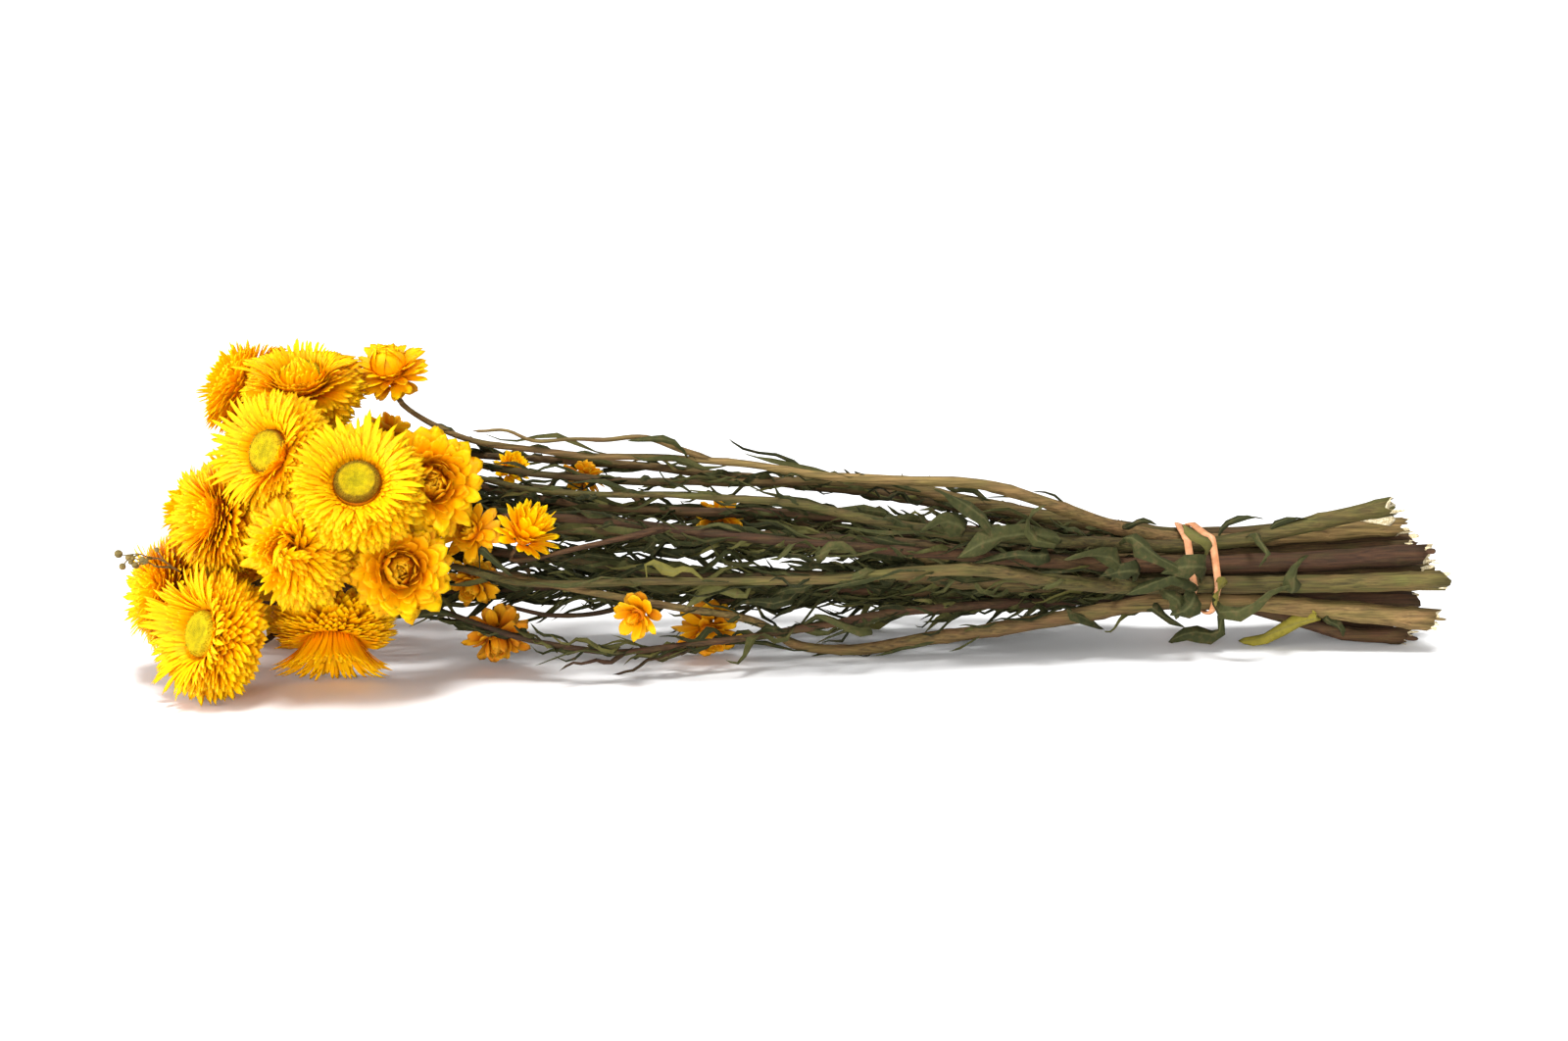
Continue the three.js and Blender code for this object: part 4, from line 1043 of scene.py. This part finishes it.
def floret_disc(name, seed):
    """The disc in an open head: a dome packed with closed florets, inside rings of spiky open ones."""
    at, _, _, head_radius, _ = HEADS[name]
    axes = head_axes(HEADS[name])
    base = np.array(at) + axes[2] * (HEAD["seat"] * head_radius + GAP)
    radius = HEAD["disc"] * head_radius
    ripe = RIPENESS.get(name, 1)
    # Rings from the underside's middle, round the rim and up to the middle of the top
    shares = [0, 0.6, 0.97, 1.0] + [p[0] for p in reversed(DISC_PROFILE)]
    rises = [0, 0, 0, 0.5] + [p[1] for p in reversed(DISC_PROFILE)]
    k = DISC_SKIN["station"]
    across, up, face = axes
    flat = np.array(shares)[k] * radius
    skin = base + np.array(rises)[k][:, None] * face
    skin = skin + (flat * DISC_SKIN["side"])[:, None] * across + (flat * DISC_SKIN["lift"])[:, None] * up
    grain = np.stack([np.array(shares)[k] * ripe, np.full(len(k), 0.5), np.full(len(k), 0.2)], axis=1)
    shapes = [(DISC_SKIN, skin, grain, 0)]

    def floret(share, angle, rise, tall, thick, splay, key):
        root = disc_point(axes, base, radius, share, angle, rise)
        tip = disc_point(axes, base, radius, share + splay, angle, rise + tall)
        spine = np.array([blend(root, tip, part) for part in (0, 0.1, 0.7, 1)])
        points = tube(FLORET, spine, np.array([0, thick, thick * 0.8, 0]), start=unit(axes[0] + axes[1]))
        marks = [share * ripe, 0, draw(seed, key, 3) * ripe]
        grain = np.tile(marks, (len(points), 1))
        grain[:, 1] = np.array([0, 0.1, 0.8, 1])[FLORET["station"]]
        shapes.append((FLORET, points, grain, 0))

    profile = np.array(DISC_PROFILE).T
    bud = CLOSED_FLORETS
    for number in range(bud["count"]):
        share = bud["reach"] * math.sqrt((number + 0.5) / bud["count"])
        rise = np.interp(share, profile[0], profile[1]) - bud["sink"]
        tall = bud["tall"] + vary(bud["uneven"], seed, number, 1)
        floret(share, GOLDEN_ANGLE * number, rise, tall, bud["thick"], 0, number)
    spike = OPEN_FLORETS
    for ring, (share, count) in enumerate(OPEN_RINGS):
        rise = np.interp(share, profile[0], profile[1]) - spike["sink"]
        for number in range(count):
            key = 1000 * (ring + 1) + number
            angle = 2 * math.pi * (number + 0.5 * ring + vary(0.3, seed, key, 1)) / count
            tall = spike["tall"] + vary(spike["uneven"], seed, key, 2)
            floret(share, angle, rise, tall, spike["thick"], vary(spike["splay"], seed, key, 4), key)
    node = name.replace("bloom", "disc")
    made = piece_from(f"florets_{node}", shapes, [FLORET_FINISH])
    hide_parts(node)


def even_shares(curve, spacing):
    """Shares of a curve's run that lie evenly spaced along it, and their distances from its start."""
    fine = np.linspace(0, 1, 300)
    points = np.array([curve(t) for t in fine])
    distance = np.concatenate([[0], np.cumsum(np.linalg.norm(np.diff(points, axis=0), axis=1))])
    count = max(6, int(distance[-1] / spacing))
    wanted = np.linspace(0, distance[-1], count)
    return np.interp(wanted, distance, fine), wanted


def limb_shape(curve, limb, tone, seed, columns=STEM_COLUMNS, spacing=3, torn=0.0, crook=1.0):
    """A ribbed, slightly crooked limb with swollen nodes, and a torn cut end where torn isn't 0."""
    shares, distance = even_shares(curve, spacing)
    shares[1] *= 0.12  # the first ring lies near the end, so that the end is blunt
    template = sleeve(columns, len(shares) - 2)
    centres = np.array([curve(t) for t in shares])
    dried = blend(1, DRIED["share"], np.minimum(1, shares / DRIED["from"]))
    radii = np.array([radius_at(limb, t) for t in shares]) * dried * tone[2]
    wobble = np.minimum(1, 12 * shares * (1 - shares))
    for axis in (1, 2):
        phase = 6 * draw(seed, axis, 1)
        turns = distance * max(1, crook)
        (long, high), (short, low) = CROOK["long"], CROOK["short"]
        wave = np.sin(turns / long + phase) * high + np.sin(turns / short + 2 * phase) * low
        centres[:, axis] += wave * wobble * crook
    apart = NODES["spacing"] + NODES["more"] * draw(seed, 3)
    from_node = (distance + 7 * draw(seed, 4)) % apart - apart / 2
    swell = np.exp(-((from_node / NODES["half_length"]) ** 2))
    radii = radii * (1 + NODES["swell"] * swell + 0.04 * np.sin(distance / 4.1 + seed))
    k = template["station"]
    round_way = np.arctan2(template["side"], template["lift"])
    column = np.round(round_way / (2 * math.pi) * columns)
    ridge = 1 + RIBS["height"] * np.where(column % 2 == 0, 1, -1)
    flat = 1 + RIBS["oval"] * np.cos(2 * round_way + distance[k] / 40 + seed)
    radii[0], radii[-1] = 0, 0
    points = tube(template, centres, radii, ridge * flat)
    if torn:
        rim = k == 1
        away = unit(centres[0] - centres[2])
        jag = np.array([vary(torn, seed, number) for number in range(rim.sum())])
        slant = torn * 1.2 * np.sin(round_way[rim] + 6 * draw(seed, 8))
        points[rim] += (jag + slant)[:, None] * away
        points[k == 0] = centres[1] - 0.8 * away
    grain = np.tile(tone, (len(points), 1)).astype(float)
    grain[:, 1] += 0.12 * np.sin(distance[k] / 37 + seed)
    return template, points, grain, 0


LEAF_SKIN = sleeve(8, 8)
ROLLED_SKIN = sleeve(4, 8)
LEAF_STATIONS = np.array([0, 0.04, 0.15, 0.3, 0.45, 0.6, 0.74, 0.86, 0.95, 1.0])
LEAF_OUTLINE = np.array([0, 0.2, 0.5, 0.85, 1.0, 0.95, 0.78, 0.5, 0.24, 0])


def leaf_seat(curve, x, angle):
    """Where a leaf leaves its stem: root, the way along the stem, out from it, and across both."""
    root = crossing(curve, x)
    along = unit(crossing(curve, root[0] - 2) - root)
    lift = unit(UP - along * along[2])
    out = lift * math.cos(angle) + np.cross(along, lift) * math.sin(angle)
    return root, along, out, np.cross(along, out)


def leaf_run(seat, length, slant, back, sway, crook=0.0):
    """A leaf's centre line: it leaves at slant, bends back and to the side, and is crooked."""
    root, along, out, wide = seat

    def point(s):
        return (
            root
            + along * length * s * math.cos(slant)
            + out * length * (s * math.sin(slant) - back * s * s + crook * math.sin(9 * s))
            + wide * length * (sway * s * s + crook * math.sin(11 * s + 2))
        )

    return point


def leaf_line(curve, seed, number, attempt):
    """A leaf's centre line as in the part: its point function, its wide way, its width and its twist."""
    share = (number + 0.5 + vary(0.3, seed, number, attempt)) / LEAF["each"]
    angle = 2.4 * number + 1.3 * attempt + vary(0.5, seed, attempt, number)
    seat = leaf_seat(curve, blend(LEAF["from"], LEAF["to"], share), angle)
    shrink = 1 - 0.055 * attempt
    length = LEAF["length"] * shrink * (1 + vary(0.3, number, seed, 2))
    width = LEAF["width"] * shrink * (1 + vary(0.28, number, seed, 3))
    slant = math.radians(11 + 12 * draw(seed, number, attempt + 5))
    back = 0.16 + vary(0.12, seed, number, 6)
    sway = vary(0.16, seed, number, 7 + attempt)
    return leaf_run(seat, length, slant, back, sway), seat[3], width, vary(0.7, seed, number, 8)


def leaf_shape(skin, point, wide, width, twist, curl, tint, key):
    """A dried leaf along its centre line: rolled in by curl, twisted, with a waved edge."""
    s = LEAF_STATIONS
    spine = np.array([point(share) for share in s])
    heading = unit(spine[-1] - spine[0])
    flat = unit(np.cross(wide, heading))
    wave = CRUMPLE["wave"] * np.linalg.norm(spine[-1] - spine[0]) * np.minimum(1, 3 * s)
    spine = spine + (wave * np.sin(9 * s + 6 * draw(*key, 1)))[:, None] * flat
    spine = spine + (0.6 * wave * np.sin(7 * s + 6 * draw(*key, 2)))[:, None] * wide
    turn = (twist + vary(CRUMPLE["twist"], *key, 3)) * s + 0.5 * np.sin(8 * s + 6 * draw(*key, 4))
    across = wide * np.cos(turn)[:, None] + flat * np.sin(turn)[:, None]
    widths = width * LEAF_OUTLINE * (1 + CRUMPLE["edge"] * np.sin(13 * s + 6 * draw(*key, 5)))
    cups = curl * (0.7 + 0.45 * np.sin(5 * s + 6 * draw(*key, 6))) + 0.15
    points = blade(skin, spine, across, widths, cups, CRUMPLE["thick"])
    k = skin["station"]
    grain = np.stack([0.5 + 0.5 * skin["side"], s[k], np.full(len(k), tint)], axis=1)
    return skin, points, grain, 1


def grown_leaves(name, curve, seed):
    """The stem's main leaves: for each place, the attempt whose tip is a point of the frame's solid."""
    points = np.array([v.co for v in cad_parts[name].data.vertices]) / MM - SHIFT
    leafy = LEAFINESS[name][0] >= ROLLED_IN["leafy_from"]
    rolled = ROLLED_IN["leafy" if leafy else "bare"]
    shapes = []
    for number in range(LEAF["each"]):
        for attempt in range(LEAF["tries"]):
            point, wide, width, twist = leaf_line(curve, seed, number, attempt)
            if np.linalg.norm(points - point(1), axis=1).min() > 0.05:
                continue
            key = (seed, number + 50)
            tint = 0.8 * draw(*key, 7)
            curl = 1.6 + 1.2 * draw(*key, 8)
            shapes.append(leaf_shape(LEAF_SKIN, point, wide, rolled * width, twist, curl, tint, key))
            break
    return shapes


def shrivelled_leaves(name, curve, seed):
    """The small leaves that fill the gaps between the stems, more of them towards the tie."""
    shapes = []
    count, reach = LEAFINESS[name]
    for number in range(count):
        key = (seed, number + 300)
        share = ((number + draw(*key, 1)) / count) ** SHRIVELLED["crowding"]
        seat = leaf_seat(curve, blend(SHRIVELLED["from"], SHRIVELLED["to"], share), 6.28 * draw(*key, 2))
        length = SHRIVELLED["length"] * reach * (1 + vary(0.55, *key, 3))
        slant = math.radians(8 + 30 * draw(*key, 4) ** 1.5)
        back = math.tan(slant) * (0.55 + vary(0.5, *key, 5))
        point = leaf_run(seat, length, slant, back, vary(0.25, *key, 6), 0.07 * vary(1, *key, 11))
        width = SHRIVELLED["width"] * (1 + vary(0.45, *key, 7))
        curl = 1.9 + vary(0.6, *key, 10)
        tint = 0.85 * draw(*key, 9)
        shapes.append(leaf_shape(ROLLED_SKIN, point, seat[3], width, vary(1.6, *key, 8), curl, tint, key))
    return shapes


def splinters(curve, tone, seed):
    """Pale torn fibres round a stem's cut end."""
    shapes = []
    cut = curve(0)
    away = unit(cut - curve(0.01))
    side = unit(np.cross(away, UP))
    lift = np.cross(side, away)
    for number in range(SPLINTER["each"]):
        key = (seed, number + 700)
        angle = 2 * math.pi * (number + draw(*key, 1)) / SPLINTER["each"]
        out = side * math.cos(angle) + lift * math.sin(angle)
        root = cut + out * STEM["foot"] * tone[2] * 0.9 - away * 2
        length = SPLINTER["length"] * (1 + vary(0.6, *key, 2))
        along = unit(away + out * vary(0.22, *key, 3) + side * vary(0.15, *key, 4))
        spine = root + BRACT_STATIONS[:, None] * length * along
        widths = SPLINTER["width"] * (1 + vary(0.5, *key, 5)) * POINTED
        across = np.tile(np.cross(away, out), (len(spine), 1))
        points = blade(BRACT, spine, across, widths, np.full(len(spine), 0.4), SPLINTER["thick"])
        shapes.append((BRACT, points, np.tile(tone, (len(points), 1)), 2 if number % 3 else 0))
    return shapes


def split_flap(curve, tone):
    """The pale strip that has split from the underside of the raised stem's cut end and bent down."""
    start = curve(FLAP["from"])
    away = unit(curve(0) - start)
    down = unit(-UP + away * away[2])
    s = BRACT_STATIONS[:, None]
    root = start + down * STEM["foot"] * tone[2] * 0.85
    spine = root + away * FLAP["length"] * s + down * FLAP["drop"] * s
    widths = FLAP["width"] * np.array([0, 0.12, 0.35, 0.6, 0.82, 1, 0])
    points = blade(BRACT, spine, np.tile(down, (len(s), 1)), widths, np.full(len(s), 0.5), FLAP["thick"])
    return BRACT, points, np.tile(tone, (len(points), 1)), 2


def stem(name, seed):
    """One stem with its branches, leaves and torn cut end."""
    row = STEMS[name]
    curve = stem_curve(row)
    tone = STEM_TONES[name]
    shapes = [limb_shape(curve, STEM, tone, seed, torn=TORN)]
    for number, branch in enumerate(BRANCHES.get(name, [])):
        size, crook, girth = (BRANCH, 0.9, tone[2])
        if branch[2] is None:
            size, crook, girth = (TWIG, 8 / len(branch[1]), TWIG_GIRTH)
        run = branch_curve(row, branch)
        shapes.append(limb_shape(run, size, (*tone[:2], girth), seed + 40 + number, 8, 2.4, crook=crook))
    shapes += grown_leaves(name, curve, seed)
    shapes += shrivelled_leaves(name, curve, seed)
    shapes += splinters(curve, tone, seed)
    if name == "stem_top_a":
        shapes.append(split_flap(curve, tone))
    made = piece_from(f"dry_{name}", shapes, [BARK_FINISH, LEAF_FINISH, PITH_FINISH])
    skin = shapes[0][0]
    for face in made.data.polygons[: len(skin["mesh"].polygons)]:
        if any(skin["station"][corner] == 0 for corner in face.vertices):
            face.material_index = 2
    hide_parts(name)


# Leaves that stand out at the front: their points, width in mm, and tint from dark to yellow-green
CURLED_LEAVES = [
    ([(-51.9, -39, 44.9), (-46.6, -41, 43.1), (-42.4, -41, 42.4), (-38, -42, 43.9), (-30.8, -41, 37.5)],
     3, 0.9),
    ([(-109.5, -37, 50.6), (-104.5, -38, 46.5), (-97.8, -38, 40.7)], 3, 0.35),
    ([(8.2, -37, 45.6), (14.6, -39, 48.4), (22.7, -38, 45.9)], 6.5, 0.6),
    ([(61.9, -31, 52.7), (53.4, -34, 56), (45, -34, 52.6)], 8, 0.5),
    ([(73.1, -29, 49.1), (67.1, -31, 59), (58.1, -32, 64.4), (48.8, -31, 67.2)], 5.5, 0.45),
    ([(-17.2, -38, 32.5), (-28.4, -40, 34), (-38.7, -40, 29.3)], 4.5, 0.8),
    ([(27.5, -31, 17.5), (17.3, -34, 20), (6.9, -33, 23.2)], 4.5, 0.6),
    ([(95.8, -29, 45.8), (85.5, -31, 49.3), (85.2, -32, 56), (91.1, -30, 61.1)], 4, 0.6),
    ([(97.5, -29, 47.2), (81.1, -32, 50.7), (66.9, -33, 48.8), (58.5, -31, 42)], 8, 0.5),
    ([(92.2, -30, 41.8), (77.7, -32, 43.3), (63.7, -32, 40.3)], 6, 0.3),
    ([(122.3, -24, 46.9), (128, -28, 44.9), (133.3, -29, 39.2), (144.4, -28, 32.2)], 7.5, 0.45),
    ([(148.6, -26, 28), (138.8, -29, 33.3), (131, -29, 32), (121.5, -27, 26.6)], 7, 0.4),
    ([(136, -26, 26.8), (140.6, -27, 22.6), (140.4, -24, 15.9)], 7, 0.5),
    ([(154.4, -25, 19.5), (164.5, -28, 20.8), (173.3, -28, 26.5), (183.5, -26, 27.9)], 6, 0.55),
    ([(182.6, -24, 25.2), (183.3, -26, 32.3), (188.9, -23, 38.7)], 6.5, 0.5),
    ([(100.8, -24, 20.5), (109.2, -18, 15.1), (117.4, -10, 8.3)], 4.5, 0.4),
    ([(194.1, -19, 14.8), (186.3, -12, 8.7), (177.7, -6, 3.6), (168.4, -2, 1.9)], 7, 0.98),
    ([(158.1, -14, 8), (149.1, -10, 7.2), (142.7, -3, 1.3)], 6, 0.3),
    ([(198.1, -18, 13), (203, -14, 8.8), (207.9, -8, 2.3)], 3, 0.4),
    ([(152.9, -25, 43.6), (146.7, -27, 47.1), (142.9, -24, 51.6)], 6, 0.85),
    ([(-35.9, -8, 77.4), (-41.5, -9, 82), (-49.2, -9, 83.5), (-56.9, -9, 82.6)], 2.6, 0.55),
    ([(151, -26, 36), (144, -30, 37), (134, -29, 34)], 8, 0.45),
    ([(147, -25, 26), (143, -28, 21), (138, -26, 18)], 7, 0.35),
    ([(157, -25, 31), (155, -29, 26), (153, -28, 21)], 5, 0.92),
    ([(126, -27, 34), (120, -29, 36), (111, -28, 33)], 6.5, 0.3),
    ([(118, -28, 38), (108, -31, 42), (97, -30, 41)], 6.5, 0.5),
    ([(170, -20, 46), (173, -25, 41), (169, -26, 35)], 3.5, 0.5),
    ([(160, -6, 46), (168, -8, 49.5), (176, -7, 48.6)], 3, 0.2),
    ([(178, -8, 46), (186, -9, 49), (193, -8, 48.5)], 2.6, 0.15),
    ([(124, -10, 47), (129, -12, 50.5), (135, -12, 48)], 3, 0.15),
    ([(132, -16, 20), (139, -17, 14), (146, -15, 10)], 4.5, 0.2),
]


def curled_leaves():
    """Single leaves that curl out of the bunch, each grown from the stem nearest to its root."""
    shapes = []
    places = np.array([place for place, _, _ in SAMPLES])
    radii = np.array([radius for _, radius, _ in SAMPLES])
    for number, (points, width, tint) in enumerate(CURLED_LEAVES):
        key = (number + 1, 900)
        distances = np.linalg.norm(places - np.array(points[0]), axis=1) - radii
        point = spline([places[distances.argmin()], *points])
        heading = unit(point(1) - point(0))
        wide = unit(np.cross(heading, (0.2, -1, 0.3)))
        curl = 1.0 + 0.9 * draw(*key, 2)
        full = CURLED_WIDTH * width
        shapes.append(leaf_shape(LEAF_SKIN, point, wide, full, vary(0.7, *key, 1), curl, tint, key))
    made = piece_from("curled_leaves", shapes, [LEAF_FINISH, LEAF_FINISH])
    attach(made, "root")


# The sprig of another plant: the points of each stalk, with a round seed head on its tip
SPRIG = [
    [(-213.6, -31, 43.2), (-215.7, -35, 45.7), (-217.4, -37, 47.8), (-220.6, -38, 49.8),
     (-222.2, -38, 49.7), (-226.4, -39, 51.7), (-228.4, -39, 51.6), (-231.5, -38, 51.1),
     (-233.5, -38, 51.6)],
    [(-215.7, -35, 45.7), (-218.5, -37, 46.4), (-221, -38, 46.9), (-223.6, -38.5, 48.6),
     (-225.2, -39, 48.9), (-227.4, -39, 47.4)],
    [(-217.4, -37, 47.8), (-218.6, -38, 49.6), (-220.4, -38, 52.8)],
    [(-226.4, -39, 51.7), (-228.3, -40, 51), (-229.9, -40, 50.8)],
    [(-223.6, -38.5, 48.6), (-226, -40, 49.9), (-228.6, -40, 50.4)],
    [(-225.2, -39, 48.9), (-227, -40.5, 49), (-229.1, -41, 49.4)],
    [(-223.6, -38.5, 48.6), (-225.7, -40.5, 48.3), (-227.8, -41, 48.3)],
    [(-222.2, -38, 49.7), (-223.7, -40, 50), (-225.1, -41, 50.1)],
    [(-222.2, -38, 49.7), (-223.3, -39.5, 50.8), (-224.1, -41, 49.5)],
    [(-228.4, -39, 51.6), (-230.3, -40, 50), (-232.1, -40, 47.6)],
]
SEED_BALL = sleeve(8, 4)


def caught_sprig():
    """A sprig of thin curved stalks with a round seed head on each tip, caught among the flowers."""
    shapes = []
    for number, points in enumerate(SPRIG):
        curve = spline(points)
        shapes.append(limb_shape(curve, STALK, SEED_TONE, 60 + number, 5, 1.2, crook=0.2))
        size = 1.5 if number == 0 else 0.9 + 0.35 * draw(number, 5)
        way = unit(curve(1) - curve(0.9))
        stations = np.array([-1, -0.8, -0.3, 0.3, 0.8, 1])
        spine = curve(1) + (stations * size)[:, None] * way
        points = tube(SEED_BALL, spine, size * np.array([0, 0.6, 0.95, 0.95, 0.6, 0]))
        shapes.append((SEED_BALL, points, np.tile(SEED_TONE, (len(points), 1)), 0))
    made = piece_from("caught_sprig", shapes, [BARK_FINISH])
    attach(made, "root")


def rubber_band():
    """Two turns round the waist, side by side where they are seen first and crossed at the back."""
    steps = BAND_FORM["steps"]
    ring_radius = 3
    bm = bmesh.new()
    for _ in range(2):
        ring = bmesh.ops.create_circle(
            bm, segments=BAND_FORM["corners"], radius=1, matrix=Matrix.Rotation(math.pi / 2, 4, "X"),
        )
        bmesh.ops.translate(bm, verts=ring["verts"], vec=(ring_radius, 0, 0))
        edges = list(dict.fromkeys(edge for vert in ring["verts"] for edge in vert.link_edges))
        bmesh.ops.spin(
            bm, geom=ring["verts"] + edges, axis=(0, 0, 1), cent=(0, 0, 0), steps=steps,
            angle=2 * math.pi, use_merge=True,
        )
    bmesh.ops.recalc_face_normals(bm, faces=bm.faces)
    for face in bm.faces:
        face.smooth = True
    half = len(bm.verts) // 2
    courses = {turn: band_course(turn, steps) for turn in (-1, 1)}
    sideways = np.array([1.0, 0.0, 0.0])
    for index, vert in enumerate(bm.verts):
        turn = -1 if index < half else 1
        angle = math.atan2(vert.co.y, vert.co.x)
        centre = courses[turn][round(angle / (2 * math.pi) * steps) % steps]
        out = np.array([0.0, math.cos(angle), math.sin(angle)])
        lean = BAND_FORM["lean"] * math.sin(2 * angle + turn)
        outward, along = math.hypot(vert.co.x, vert.co.y) - ring_radius, vert.co.z
        # The powers square the round section off, as a cut band's
        wide = math.copysign(abs(along) ** 0.6, along) * BAND["width"] / 2
        thick = math.copysign(abs(outward) ** 0.8, outward) * BAND["thick"] / 2
        turned = out * math.cos(lean) + sideways * math.sin(lean)
        flat = sideways * math.cos(lean) - out * math.sin(lean)
        vert.co = Vector((centre + turned * thick + flat * wide + SHIFT) * MM)
    mesh = mesh_of("stretched_rubber_band", bm)
    mesh.materials.append(RUBBER_FINISH)
    made = put("stretched_rubber_band", mesh)
    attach(made, "root")
    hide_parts("rubber_band")


def band_course(turn, steps):
    """The middle of one turn of the band at each step round the waist, stretched over the stems."""
    limbs = [(stem_curve(row), STEM_TONES[name][2]) for name, row in STEMS.items()]
    course = []
    for step in range(steps):
        angle = 2 * math.pi * step / steps
        seen = max(0.0, -math.cos(angle))
        x = TIE["x"] + turn * BAND["spread"] * (1.15 * abs(math.sin(angle / 2)) - 0.15)
        x += BAND_FORM["shift"] * seen**2 + BAND_FORM["waver"] * math.sin(3 * angle + turn)
        out = np.array([0.0, math.cos(angle), math.sin(angle)])
        touched = []
        for curve, girth in limbs:
            t = share_at(curve, x)
            touched.append(curve(t) + out * radius_at(STEM, t) * girth * 1.08)
        clearance = 0.25 if turn < 0 else 0.45
        course.append(max(touched, key=out.dot) + out * (clearance + BAND["thick"] / 2))
    course = np.array(course)
    return sum(np.roll(course, offset, axis=0) for offset in (-2, -1, 0, 1, 2)) / 5


def studio():
    """A plain pale floor, soft light from above, the front and the left, and the photograph's view."""
    bm = bmesh.new()
    bmesh.ops.create_grid(bm, x_segments=1, y_segments=1, size=FLOOR_REACH)
    mesh = mesh_of("floor", bm)
    floor = put("floor", mesh)
    material, _, principled = finish("matt_white_board", Roughness=0.9)
    principled.inputs["Base Color"].default_value = linear("#F4F4F4")
    mesh.materials.append(material)

    world = bpy.data.worlds.new("studio")
    bpy.context.scene.world = world
    world.use_nodes = True
    background = world.node_tree.nodes["Background"]
    background.inputs["Color"].default_value = (1.0, 1.0, 1.0, 1.0)
    background.inputs["Strength"].default_value = SKY
    for name, strength, spread, turn, rise in SUNS:
        light = bpy.data.lights.new(name, "SUN")
        light.energy = strength
        light.angle = math.radians(spread)
        put(name, light).rotation_euler = Vector(facing(turn, rise)).to_track_quat("Z", "Y").to_euler()

    camera = bpy.data.cameras.new("camera")
    camera.lens = VIEW["lens"]
    camera.sensor_width = VIEW["sensor"]
    camera.clip_end = VIEW["far"]
    back = Vector(facing(VIEW["turn"], VIEW["rise"]))
    holder = put("camera", camera)
    holder.location = Vector((SHIFT + np.array([0, 0, VIEW["over"]])) * MM) + back * VIEW["from"]
    holder.rotation_euler = back.to_track_quat("Z", "Y").to_euler()
    bpy.context.scene.camera = holder
    bpy.context.scene.view_settings.view_transform = "Standard"


for seed, name in enumerate(HEADS, 1):
    bloom(name, seed)
    if FORMS[HEADS[name][4]]["heart"] == "disc":
        floret_disc(name, seed)
for seed, name in enumerate(STEMS, 1):
    stem(name, seed)
curled_leaves()
caught_sprig()
rubber_band()
studio()
